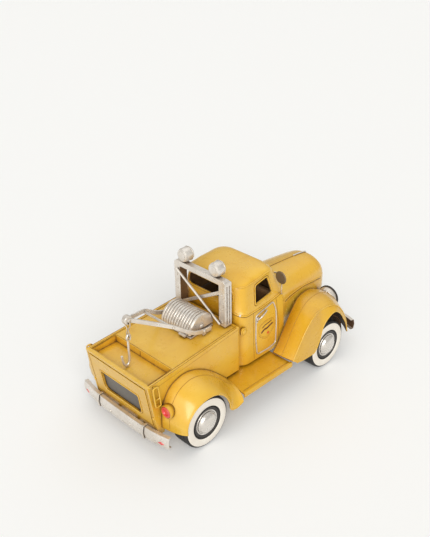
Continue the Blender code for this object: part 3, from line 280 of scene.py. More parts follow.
def loft(name, rings, mat, closed_path=False, smooth_angle=35.0):
    """Skin a row of closed rings with the same number of points; flat caps on open paths."""
    n = len(rings[0])
    verts = [v for r in rings for v in r]
    faces = []
    m = len(rings)
    last = m if closed_path else m - 1
    for i in range(last):
        a, b = i * n, ((i + 1) % m) * n
        for j in range(n):
            k = (j + 1) % n
            faces.append((a + j, a + k, b + k, b + j))
    if not closed_path:
        faces.append(tuple(range(n - 1, -1, -1)))
        faces.append(tuple((m - 1) * n + j for j in range(n)))
    return add(name, verts, faces, mat, smooth_angle)


def prism(name, outline, axis, a, b, mat, smooth_angle=30.0, base=P):
    """Extrude a closed outline along u, w or z. The outline gives the other two values in u, w, z order."""
    def pt(p, v):
        if axis == "u":
            return base(v, p[0], p[1])
        if axis == "w":
            return base(p[0], v, p[1])
        return base(p[0], p[1], v)
    return loft(name, [[pt(p, a) for p in outline], [pt(p, b) for p in outline]], mat, smooth_angle=smooth_angle)


def block(name, u0, u1, w0, w1, z0, z1, mat, base=P):
    return prism(name, [(w0, z0), (w1, z0), (w1, z1), (w0, z1)], "u", u0, u1, mat, base=base)


def rounded(outline, r, n=8):
    """Round every corner of a polygon with arcs of about radius r."""
    out = []
    m = len(outline)
    for i in range(m):
        p0, p1, p2 = Vector(outline[i - 1]), Vector(outline[i]), Vector(outline[(i + 1) % m])
        d0, d1 = (p0 - p1), (p2 - p1)
        rr = min(r, d0.length * 0.45, d1.length * 0.45)
        a, b = p1 + d0.normalized() * rr, p1 + d1.normalized() * rr
        for k in range(n + 1):
            t = k / n
            q = a * (1 - t) ** 2 + p1 * 2 * t * (1 - t) + b * t ** 2
            out.append((q.x, q.y))
    return out


def tube(name, pts, radius, sides, mat, closed=False, flat=None):
    """Round (or, with flat=(width, height), rectangular) bar along points in u, w, z."""
    sides = max(14, sides * 2)
    q = [P(*p) for p in pts]
    n = len(q)
    rings = []
    normal = None
    for i in range(n):
        if closed:
            t = (q[(i + 1) % n] - q[i - 1]).normalized()
        else:
            t = (q[min(i + 1, n - 1)] - q[max(i - 1, 0)]).normalized()
        if normal is None or flat:
            up = Vector((0, 0, 1)) if abs(t.z) < 0.9 else Vector((0, 1, 0))
            normal = (up - t * up.dot(t)).normalized()
        else:
            normal = (normal - t * normal.dot(t)).normalized()
        side = t.cross(normal).normalized()
        ring = []
        if flat:
            hw, hh = flat[0] * TYRE_R / 2, flat[1] * TYRE_R / 2
            for sx, sy in ((-1, -1), (1, -1), (1, 1), (-1, 1)):
                ring.append(q[i] + side * (sx * hw) + normal * (sy * hh))
        else:
            for k in range(sides):
                a = 2 * math.pi * k / sides
                ring.append(q[i] + (normal * math.cos(a) + side * math.sin(a)) * radius * TYRE_R)
        rings.append(ring)
    return loft(name, rings, mat, closed_path=closed, smooth_angle=40)


def smooth_path(pts, per=6, closed=False):
    """Catmull-Rom points through the given ones."""
    per = per * 3 if per < 5 else per
    v = [Vector(p) for p in pts]
    n = len(v)
    out = []
    segs = n if closed else n - 1
    for i in range(segs):
        if closed:
            p0, p1, p2, p3 = v[i - 1], v[i], v[(i + 1) % n], v[(i + 2) % n]
        else:
            p0 = v[i - 1] if i > 0 else v[0] * 2 - v[1]
            p1, p2 = v[i], v[i + 1]
            p3 = v[i + 2] if i + 2 < n else v[n - 1] * 2 - v[n - 2]
        for k in range(per):
            t = k / per
            out.append(0.5 * ((2 * p1) + (p2 - p0) * t + (2 * p0 - 5 * p1 + 4 * p2 - p3) * t * t
                              + (3 * p1 - p0 - 3 * p2 + p3) * t ** 3))
    if not closed:
        out.append(v[-1])
    return [tuple(p) for p in out]


def lathe(name, profile, axis, centre, seg, mat, closed=False, smooth_angle=35.0, base=P):
    """Turn a profile of (radius, offset) about a line along u, w or z through centre (u, w, z)."""
    cu, cw, cz = centre
    seg = seg * 3
    verts, idx = [], []
    for (r, o) in profile:
        if r < 1e-6:
            idx.append([len(verts)])
            ring = [(0.0, 0.0)]
        else:
            idx.append(list(range(len(verts), len(verts) + seg)))
            ring = [(r * math.cos(2 * math.pi * k / seg), r * math.sin(2 * math.pi * k / seg)) for k in range(seg)]
        for (a, b) in ring:
            if axis == "w":
                verts.append(base(cu + a, cw + o, cz + b))
            elif axis == "u":
                verts.append(base(cu + o, cw + a, cz + b))
            else:
                verts.append(base(cu + a, cw + b, cz + o))
    faces = []
    m = len(profile)
    for i in range(m if closed else m - 1):
        A, B = idx[i], idx[(i + 1) % m]
        for k in range(seg):
            j = (k + 1) % seg
            if len(A) == 1 and len(B) == 1:
                continue
            if len(A) == 1:
                faces.append((A[0], B[j], B[k]))
            elif len(B) == 1:
                faces.append((A[k], A[j], B[0]))
            else:
                faces.append((A[k], A[j], B[j], B[k]))
    return add(name, verts, faces, mat, smooth_angle)


def sheet(name, grid, thick, mat, flip=False, smooth_angle=40.0, lift=0.0):
    """A curved sheet of even thickness from an open grid of points; thickness grows inwards."""
    m, n = len(grid), len(grid[0])
    nor = []
    for i in range(m):
        row = []
        for j in range(n):
            du = grid[min(i + 1, m - 1)][j] - grid[max(i - 1, 0)][j]
            dv = grid[i][min(j + 1, n - 1)] - grid[i][max(j - 1, 0)]
            c = du.cross(dv)
            row.append(c.normalized() if c.length > 1e-12 else Vector((0, 0, 1)))
        nor.append(row)
    s = -1.0 if flip else 1.0
    verts = [grid[i][j] + nor[i][j] * s * lift * TYRE_R for i in range(m) for j in range(n)]
    verts += [grid[i][j] - nor[i][j] * s * thick * TYRE_R for i in range(m) for j in range(n)]
    o = m * n
    f = []
    for i in range(m - 1):
        for j in range(n - 1):
            a, b, c, d = i * n + j, i * n + j + 1, (i + 1) * n + j + 1, (i + 1) * n + j
            f.append((a, b, c, d))
            f.append((o + d, o + c, o + b, o + a))
    edge = [i * n for i in range(m)] + [(m - 1) * n + j for j in range(1, n)]
    edge += [i * n + n - 1 for i in range(m - 2, -1, -1)] + [j for j in range(n - 2, 0, -1)]
    for k in range(len(edge)):
        a, b = edge[k], edge[(k + 1) % len(edge)]
        f.append((a, b, o + b, o + a))
    return add(name, verts, f, mat, smooth_angle)


def boolean(ob, others, op):
    """Apply a Boolean with each of the other objects, then drop them."""
    for other in others:
        mod = ob.modifiers.new("b", "BOOLEAN")
        mod.operation = op
        mod.solver = "EXACT"
        mod.object = other
        bpy.context.view_layer.update()
        dg = bpy.context.evaluated_depsgraph_get()
        me = bpy.data.meshes.new_from_object(ob.evaluated_get(dg))
        ob.modifiers.remove(mod)
        old = ob.data
        ob.data = me
        me.name = ob.name
        bpy.data.meshes.remove(old)
        bpy.data.objects.remove(other, do_unlink=True)
    bm = bmesh.new()
    bm.from_mesh(ob.data)
    bmesh.ops.remove_doubles(bm, verts=bm.verts, dist=2e-6)
    bmesh.ops.dissolve_degenerate(bm, edges=bm.edges, dist=1e-6)
    bm.to_mesh(ob.data)
    bm.free()
    return ob


def keep_piece(ob, far):
    """Of an object's separate pieces, keep the one that reaches furthest in a direction."""
    bm = bmesh.new()
    bm.from_mesh(ob.data)
    keep, todo = set(), [max(bm.verts, key=lambda v: v.co.dot(Vector(far)))]
    while todo:
        v = todo.pop()
        if v in keep:
            continue
        keep.add(v)
        todo += [e.other_vert(v) for e in v.link_edges]
    bmesh.ops.delete(bm, geom=[v for v in bm.verts if v not in keep], context="VERTS")
    bm.to_mesh(ob.data)
    bm.free()


def interp(table, t):
    """Linear look-up in rows of (t, a, b, ...)."""
    if t <= table[0][0]:
        return table[0][1:]
    for a, b in zip(table, table[1:]):
        if t <= b[0]:
            k = (t - a[0]) / (b[0] - a[0])
            return tuple(x + (y - x) * k for x, y in zip(a[1:], b[1:]))
    return table[-1][1:]


def set_origin(ob, point):
    """Put an object's origin on a point, leaving its shape where it is."""
    ob.data.transform(Matrix.Translation(-point))
    ob.location = point
    return ob


# ----------------------------------------------------------------------------- bed surface
def rail_z(u):
    u0, z0 = BED_TAIL_TOP
    return z0 + (u - u0) / (BED_FRONT - u0) * (BED_RAIL_FRONT_Z - z0)


def tail_u(z):
    (ut, zt), (ub, zb) = BED_TAIL_TOP, BED_TAIL_BOT
    return ub + (z - zb) / (zt - zb) * (ut - ub)


# ----------------------------------------------------------------------------- chassis and axles
def build_chassis():
    def bar(nm, u0, u1, w0, w1, z0, z1):
        return block(nm, u0, u1, w0, w1, z0, z1, DARK_AND_SHADE, base=W)
    base = bar("chassis_frame", -1.10, 8.45, 0.44, 0.60, 1.22, 1.31)
    parts = [bar("t1", -1.10, 8.45, -0.60, -0.44, 1.22, 1.31)]
    for i, u in enumerate((-1.0, 0.55, 2.2, 4.2, 6.0, 7.4, 8.3)):
        parts.append(bar("t2%d" % i, u - 0.09, u + 0.09, -0.52, 0.52, 1.23, 1.30))
    for i, u in enumerate((0.0, WHEELBASE)):
        for s in (-1, 1):
            parts.append(prism("t3%d%d" % (i, s), [(u - 0.22, 1.26), (u - 0.14, 0.84), (u + 0.14, 0.84), (u + 0.22, 1.26)],
                               "w", s * 0.46, s * 0.58, DARK_AND_SHADE, base=W))
    # irons that carry the bumpers
    for s in (-1, 1):
        parts.append(prism("t4%d" % s, [(-0.96, 1.30), (-0.96, 1.24), (-1.12, 0.70), (-1.58, 0.70), (-1.58, 0.76), (-1.18, 0.76),
                                        (-1.02, 1.30)], "w", s * 0.46, s * 0.58, DARK_AND_SHADE, base=W))
        parts.append(prism("t5%d" % s, [(8.36, 1.28), (8.36, 1.24), (8.76, 0.78), (9.06, 0.78), (9.06, 0.84), (8.80, 0.84),
                                        (8.42, 1.28)], "w", s * 0.46, s * 0.58, DARK_AND_SHADE, base=W))
    boolean(base, parts, "UNION")
    holes = [lathe("h%d" % i, [(0.0, -1.2), (0.085, -1.2), (0.085, 1.2), (0.0, 1.2)], "w", (u, 0, HUB_Z), 16, DARK_AND_SHADE, base=W)
             for i, u in enumerate((0.0, WHEELBASE))]
    boolean(base, holes, "DIFFERENCE")
    for nm, u in (("rear_axle", 0.0), ("front_axle", WHEELBASE)):
        e = TRACK_OUT - 0.16
        lathe(nm, [(0.0, -e), (0.07, -e), (0.07, e), (0.0, e)], "w", (u, 0, HUB_Z), 14, STEEL, base=W)


# ----------------------------------------------------------------------------- wheels
def build_wheel(tag, u, s):
    o, i = TRACK_OUT, TRACK_OUT - TYRE_W
    tyre = [(0.60, o - 0.06), (0.62, o - 0.035), (0.642, o - 0.028), (0.648, o - 0.014), (0.665, o - 0.004), (0.72, o - 0.001), (0.79, o),
            (0.86, o - 0.003), (0.905, o - 0.010), (0.924, o - 0.018), (0.932, o - 0.034), (0.945, o - 0.036), (0.968, o - 0.040),
            (0.986, o - 0.058), (0.997, o - 0.085), (1.0, o - 0.110)]
    x0, x1, grooves = o - 0.125, i + 0.175, 5
    for g in range(grooves):
        a = x0 + (x1 - x0) * (g + 0.5) / grooves
        tyre += [(1.0, a + 0.014), (0.984, a + 0.010), (0.984, a - 0.010), (1.0, a - 0.014)]
    tyre += [(1.0, i + 0.16), (0.99, i + 0.09), (0.97, i + 0.05), (0.93, i + 0.02), (0.88, i + 0.01), (0.78, i), (0.70, i), (0.60, i + 0.06)]
    t = lathe("tyre_" + tag, [(r, s * x) for r, x in tyre], "w", (u, 0, HUB_Z), 36, RUBBER, closed=True, base=W)
    t.data.materials.append(WHITE)
    hub = W(u, 0, HUB_Z)
    for f in t.data.polygons:
        c = f.center - hub
        r = math.hypot(c.y, c.z) / TYRE_R
        if 0.648 < r < 0.926 and -s * c.x / TYRE_R > o - 0.03:
            f.material_index = 1
    set_origin(t, W(u, s * o, HUB_Z))
    r0 = 0.60 - GAP
    rim = [(0.0, o - 0.05), (0.432, o - 0.05), (0.436, o - 0.034), (0.444, o - 0.028), (0.482, o - 0.026), (0.490, o - 0.032),
           (0.496, o - 0.048), (0.508, o - 0.050), (0.516, o - 0.036), (0.56, o - 0.026), (0.588, o - 0.032), (r0, o - 0.06), (r0, i + 0.06),
           (0.53, i + 0.06), (0.51, o - 0.22), (0.40, o - 0.24), (0.16, o - 0.22), (0.14, i + 0.12), (0.085, i + 0.12), (0.085, o - 0.14),
           (0.0, o - 0.14)]
    w = lathe("wheel_" + tag, [(r, s * x) for r, x in rim], "w", (u, 0, HUB_Z), 28, CHROME, base=W)
    w.data.materials.append(BLACK)
    for f in w.data.polygons:
        c = f.center - hub
        r = math.hypot(c.y, c.z) / TYRE_R
        if r > 0.494:
            f.material_index = 1
    set_origin(w, W(u, s * o, HUB_Z))
    b = o - 0.05 + GAP
    cap = [(0.0, b), (0.418, b), (0.424, b + 0.012), (0.424, b + 0.030), (0.414, b + 0.040), (0.400, b + 0.044), (0.392, b + 0.056),
           (0.378, b + 0.082), (0.350, b + 0.112), (0.31, b + 0.138), (0.26, b + 0.160), (0.20, b + 0.178), (0.13, b + 0.192),
           (0.06, b + 0.201), (0.0, b + 0.203)]
    h = lathe("hubcap_" + tag, [(r, s * x) for r, x in cap], "w", (u, 0, HUB_Z), 28, CHROME, base=W)
    set_origin(h, W(u, s * o, HUB_Z))


# ----------------------------------------------------------------------------- fenders
def superquad(n_s, power):
    """Quarter superellipse, from the inner seam (0, 1) to the outer edge (1, 0)."""
    out = []
    for k in range(n_s + 1):
        a = 0.5 * math.pi * k / n_s
        out.append((math.sin(a) ** (2.0 / power), math.cos(a) ** (2.0 / power)))
    return out


def fender(name, s, seam, edge, w_in, w_out, powers, n_t, n_s):
    """seam: (u, z) on the body; edge: (u, z) of the wheel opening; w_in: matching inner half widths."""
    sm = smooth_path([(p[0], w, p[1]) for p, w in zip(seam, w_in)], n_t)
    ed = smooth_path([(p[0], w_out, p[1]) for p in edge], n_t)
    pw = smooth_path([(q, 0, 0) for q in powers], n_t)
    grid = []
    for a, b, q in zip(sm, ed, pw):
        A, B = P(a[0], s * a[1], a[2]), W(b[0], s * b[1], b[2])
        row = []
        for x, y in superquad(n_s, q[0]):
            row.append(Vector((A.x + (B.x - A.x) * x, B.y + (A.y - B.y) * y, B.z + (A.z - B.z) * y)))
        grid.append(row)
    sheet(name, grid, SHEET, YELLOW, flip=(s > 0))
    return grid


REAR_SEAM = [(-1.15, 0.86), (-1.13, 1.40), (-1.00, 1.92), (-0.66, 2.36), (-0.10, 2.54), (0.45, 2.45), (0.98, 2.18),
             (1.42, 1.84), (1.72, 1.56), (1.94, 1.34), (2.06, 1.22)]
REAR_EDGE = [(-1.00, 1.08), (-1.01, 1.30), (-0.89, 1.63), (-0.52, 1.97), (0.01, 2.10), (0.48, 2.00), (0.84, 1.70),
             (1.04, 1.30), (1.10, 1.00), (1.38, 0.91), (1.72, 1.00)]
REAR_POWER = [1.5, 1.5, 1.45, 1.4, 1.3, 1.3, 1.35, 1.4, 1.5, 1.6, 1.7]
FRONT_ROWS = [  # seam u, w, z on the body; ridge u, w, z and edge u, z from the axle; bulge between seam and ridge
    (4.52, 1.79, 1.22, 4.52, 2.72, 1.32, 4.72, 1.18, 0.03),
    (4.84, 1.72, 1.41, 4.85, 2.72, 1.83, 5.08, 1.12, 0.05),
    (5.19, 1.66, 1.78, 5.12, 2.72, 2.24, 5.45, 1.11, 0.06),
    (5.54, 1.60, 2.15, 5.42, 2.70, 2.54, 5.82, 1.15, 0.08),
    (5.90, 1.54, 2.47, 5.78, 2.66, 2.76, 6.09, 1.58, 0.10),
    (6.34, 1.42, 2.70, 6.24, 2.60, 2.80, 6.25, 2.08, 0.12),
    (6.74, 1.34, 2.75, 6.70, 2.60, 2.79, 6.58, 2.38, 0.14),
    (7.13, 1.28, 2.73, 7.14, 2.63, 2.66, 6.98, 2.48, 0.17),
    (7.53, 1.22, 2.61, 7.46, 2.67, 2.38, 7.34, 2.25, 0.20),
    (7.93, 1.18, 2.36, 7.68, 2.70, 2.02, 7.60, 1.88, 0.24),
    (8.28, 1.12, 1.76, 7.84, 2.72, 1.62, 7.80, 1.52, 0.28),
    (8.50, 1.07, 0.78, 7.93, 2.72, 1.18, 7.90, 1.14, 0.30),
]


def front_fender(name, s, n_t, n_s):
    """Front fender: a broad face from the body out to a ridge, then a flat skirt down to the wheel opening."""
    seam = smooth_path([(r[0], r[1], r[2]) for r in FRONT_ROWS], n_t)
    ridge = smooth_path([(r[3], r[4], r[5]) for r in FRONT_ROWS], n_t)
    edge = smooth_path([(r[6], FENDER_W + 0.06, r[7]) for r in FRONT_ROWS], n_t)
    bulge = smooth_path([(r[8], 0.0, 0.0) for r in FRONT_ROWS], n_t)
    hub = W(WHEELBASE, 0, HUB_Z)
    grid = []
    for a, b, c, g in zip(seam, ridge, edge, bulge):
        A, B, C = P(a[0], s * a[1], a[2]), W(b[0], s * b[1], b[2]), W(c[0], s * c[1], c[2])
        d = (A + B) * 0.5 - hub
        d.x = 0.0
        d.normalize()
        row = []
        for k in range(n_s + 1):
            t = k / n_s
            row.append(A.lerp(B, t) + d * (g[0] * TYRE_R * math.sin(math.pi * t)))
        row.append(B.lerp(C, 0.5) + Vector((-s * 0.012 * TYRE_R, 0, 0)))
        row.append(C)
        grid.append(row)
    sheet(name, grid, SHEET, YELLOW, flip=(s > 0))
    return grid


# ----------------------------------------------------------------------------- cab and hood
def plan_ring(uR, uF, wR, wF, rR, rF, z, tilt=0.0, arc=12, mid=8):
    """A rounded trapezoid seen from above, always with the same number of points."""
    corners = [(uR, -wR, rR), (uF, -wF, rF), (uF, wF, rF), (uR, wR, rR)]
    pts = []
    m = len(corners)
    ends = []
    for i in range(m):
        p0, p1, p2 = (Vector(corners[i - 1][:2]), Vector(corners[i][:2]), Vector(corners[(i + 1) % m][:2]))
        r = min(corners[i][2], (p0 - p1).length * 0.499, (p2 - p1).length * 0.499)
        a, b = p1 + (p0 - p1).normalized() * r, p1 + (p2 - p1).normalized() * r
        arcpts = []
        for k in range(arc + 1):
            t = k / arc
            # circular-looking corner
            w0, w1, w2 = (1 - t) ** 2, 2 * t * (1 - t) * 0.75, t ** 2
            q = (a * w0 + p1 * w1 + b * w2) / (w0 + w1 + w2)
            arcpts.append(q)
        ends.append(arcpts)
    for i in range(m):
        pts += ends[i]
        a, b = ends[i][-1], ends[(i + 1) % m][0]
        for k in range(1, mid + 1):
            pts.append(a.lerp(b, k / (mid + 1)))
    return [P(q.x, q.y, z + tilt * (q.x - 3.0)) for q in pts]


CAB_LEVELS = [  # z, u rear, u front, half width rear, half width front, corner radii, tilt
    (1.215, 2.86, 5.42, 1.64, 1.62, 0.50, 0.04, 0.0),
    (2.20, 2.86, 5.42, 1.66, 1.56, 0.50, 0.04, 0.0),
    (3.36, 2.85, 5.42, 1.63, 1.46, 0.50, 0.05, 0.0),
    (3.46, 2.84, 5.42, 1.63, 1.45, 0.50, 0.06, 0.0),
    (3.56, 2.87, 5.42, 1.58, 1.42, 0.50, 0.16, 0.0),
    (4.00, 2.89, 5.24, 1.52, 1.39, 0.52, 0.24, 0.02),
    (4.38, 2.92, 5.00, 1.45, 1.37, 0.55, 0.32, 0.09),
    (4.48, 2.95, 4.92, 1.42, 1.34, 0.60, 0.38, 0.10),
    (4.57, 3.04, 4.88, 1.34, 1.28, 0.68, 0.46, 0.09),
    (4.65, 3.18, 4.82, 1.20, 1.17, 0.76, 0.54, 0.08),
    (4.71, 3.36, 4.72, 1.00, 1.00, 0.80, 0.58, 0.07),
    (4.75, 3.60, 4.58, 0.72, 0.76, 0.62, 0.52, 0.055),
    (4.77, 3.86, 4.42, 0.38, 0.44, 0.34, 0.32, 0.045),
]


def finer(rows, first, per):
    """Catmull-Rom rows through the given ones from index first on; the rows before it stay."""
    v = [tuple(r) for r in rows]
    out = v[:first]
    n = len(v)
    for i in range(first, n - 1):
        p0, p1, p2, p3 = v[max(i - 1, 0)], v[i], v[i + 1], v[min(i + 2, n - 1)]
        for k in range(per):
            t = k / per
            out.append(tuple(0.5 * (2 * b + (c - a) * t + (2 * a - 5 * b + 4 * c - d) * t * t + (3 * b - a - 3 * c + d) * t ** 3)
                             for a, b, c, d in zip(p0, p1, p2, p3)))
    out.append(v[-1])
    return out


def build_cab():
    outer, inner = [], []
    t = 0.06
    levels = finer(CAB_LEVELS, 5, 5)
    for (z, uR, uF, wR, wF, rR, rF, k) in levels:
        outer.append(plan_ring(uR, uF, wR, wF, rR, rF, z, k))
    for i, (z, uR, uF, wR, wF, rR, rF, k) in enumerate(levels):
        dz = 0.0 if i == 0 else (0.02 if z < 4.42 else 0.06)
        sh = t
        inner.append(plan_ring(uR + sh, uF - sh, max(wR - sh, 0.1), max(wF - sh, 0.1), max(rR - sh, 0.05),
                               max(rF - sh, 0.05), z - dz, k))
    n = len(outer[0])
    rings = list(reversed(inner)) + outer
    verts = [v for r in rings for v in r]
    m = len(rings)
    faces = []
    for i in range(m - 1):
        a, b = i * n, (i + 1) * n
        for j in range(n):
            q = (j + 1) % n
            faces.append((a + j, a + q, b + q, b + j))
    faces.append(tuple(range(n)))
    faces.append(tuple((m - 1) * n + j for j in range(n)))
    cab = add("cab_shell", verts, faces, YELLOW, 28)
    side = rounded([(3.80, 3.58), (4.76, 3.68), (4.52, 4.40), (3.87, 4.30)], 0.08)
    cut = [prism("c1", side, "w", -2.0, 2.0, YELLOW)]
    rear = rounded([(-1.16, 3.88), (1.16, 3.88), (1.08, 4.36), (-1.08, 4.36)], 0.20)
    cut.append(prism("c2", rear, "u", 2.2, 3.55, YELLOW))
    for s in (-1, 1):
        pane = rounded([(s * 0.06, 3.78), (s * 1.22, 3.78), (s * 1.12, 4.40), (s * 0.06, 4.48)], 0.10)
        cut.append(prism("c3%d" % s, pane, "u", 4.85, 6.0, YELLOW))
    # the lower front of the cab opens into the cowl
    cut.append(block("c4", 5.1, 6.0, -1.2, 1.2, 1.0, 3.2, YELLOW))
    boolean(cab, cut, "DIFFERENCE")
    prism("cab_floor", [(2.98, -1.10), (3.14, -1.34), (3.40, -1.50), (5.30, -1.46), (5.30, 1.46), (3.40, 1.50), (3.14, 1.34), (2.98, 1.10)], "z", 1.215, 1.27, DARK_AND_SHADE)
    seat = [(3.00, 1.30), (4.05, 1.30), (4.05, 2.15), (3.98, 2.25), (3.42, 2.30), (3.26, 3.35), (3.18, 3.42), (3.05, 3.42),
            (3.00, 3.30)]
    prism("bench_seat", seat, "w", -1.30, 1.30, BROWN)
    ring = [(4.66 + 0.12 * math.sin(2 * math.pi * k / 20), -0.62 + 0.36 * math.cos(2 * math.pi * k / 20),
             3.16 + 0.34 * math.sin(2 * math.pi * k / 20)) for k in range(20)]
    wheel = tube("steering_wheel", ring, 0.035, 6, DARK_AND_SHADE, closed=True)
    spokes = [tube("s1", [(4.66 - 0.002, -0.98, 3.16), (4.66, -0.26, 3.16)], 0.028, 6, DARK_AND_SHADE),
              tube("s2", [(4.66, -0.62, 3.16), (4.90, -0.62, 2.95), (5.20, -0.62, 2.62)], 0.04, 8, DARK_AND_SHADE),
              tube("s3", [(4.66, -0.62, 3.16), (4.546, -0.62, 2.835)], 0.028, 6, DARK_AND_SHADE)]
    boolean(wheel, spokes, "UNION")


HOOD_STATIONS = [  # u, top z, half width at the side, side bottom z, moulding z
    (5.43, 3.70, 1.44, 1.30, 2.98),
    (5.80, 3.69, 1.33, 1.30, 2.93),
    (6.30, 3.67, 1.22, 1.40, 2.90),
    (7.00, 3.64, 1.12, 1.50, 2.88),
    (7.70, 3.60, 1.05, 1.50, 2.88),
    (8.20, 3.56, 0.98, 1.30, 2.88),
    (8.50, 3.50, 0.91, 1.10, 2.86),
    (8.68, 3.37, 0.83, 1.00, 2.80),
    (8.77, 3.12, 0.77, 0.98, 2.68),
]
NOSE_U = 8.77


def hood_section(u, top, w, bot, mz, n=26, inset=0.0):
    """Arch over the engine: straight sides up to the moulding, then a quarter ellipse to the middle crease."""
    half = [(w - inset, bot), (w + 0.01 - inset, (bot + mz) * 0.5), (w + 0.02 - inset, mz - 0.04), (w - inset, mz)]
    for k in range(1, n + 1):
        a = 0.5 * math.pi * k / n
        x, y = max(0.0, math.cos(a)) ** 0.94, math.sin(a) ** 0.96
        half.append(((w - inset) * x, mz + (top - inset - mz) * y))
    right = [(x, z) for x, z in half]
    left = [(-x, z) for x, z in reversed(half[:-1])]
    return [P(u, x, z) for x, z in right + left]


def build_hood():
    stations = finer(HOOD_STATIONS, 0, 5)
    out = [hood_section(*st) for st in stations]
    # close the nose with a flat panel that carries the grille
    inn = []
    for i, (u, top, w, bot, mz) in enumerate(stations):
        uu = u if i < len(stations) - 1 else u - 0.06
        inn.append(hood_section(uu, top, w, bot, mz, inset=0.06))
    n = len(out[0])
    verts = [v for r in out for v in r] + [v for r in inn for v in r]
    m = len(out)
    o = m * n
    faces = []
    for i in range(m - 1):
        a, b = i * n, (i + 1) * n
        for j in range(n - 1):
            faces.append((a + j, a + j + 1, b + j + 1, b + j))
            faces.append((o + b + j, o + b + j + 1, o + a + j + 1, o + a + j))
        faces.append((a, b, o + b, o + a))
        faces.append((a + n - 1, o + a + n - 1, o + b + n - 1, b + n - 1))
    for j in range(n - 1):
        faces.append((j, o + j, o + j + 1, j + 1))
    e = (m - 1) * n
    faces.append(tuple(e + j for j in range(n)))
    faces.append(tuple(o + e + j for j in range(n - 1, -1, -1)))
    faces.append((e, e + n - 1, o + e + n - 1, o + e))
    add("hood", verts, faces, YELLOW, 28)
    # grille: a backing plate with upright bars, set on the nose
    back = rounded([(-0.64, 1.12), (0.64, 1.12), (0.66, 2.60), (0.46, 2.88), (-0.46, 2.88), (-0.66, 2.60)], 0.12)
    g = prism("grille", back, "u", NOSE_U + GAP, NOSE_U + 0.05, SILVER)
    bars = []
    for k in range(-4, 5):
        w = k * 0.135
        h = 2.80 - 0.10 * abs(k) / 4.0
        n = NOSE_U + 0.03
        bars.append(prism("b%d" % k, [(n, 1.20), (n + 0.06, 1.20), (n + 0.095, 1.4), (n + 0.095, h - 0.25), (n + 0.04, h - 0.02), (n, h)],
                          "w", w - 0.035, w + 0.035, SILVER))
    boolean(g, bars, "UNION")


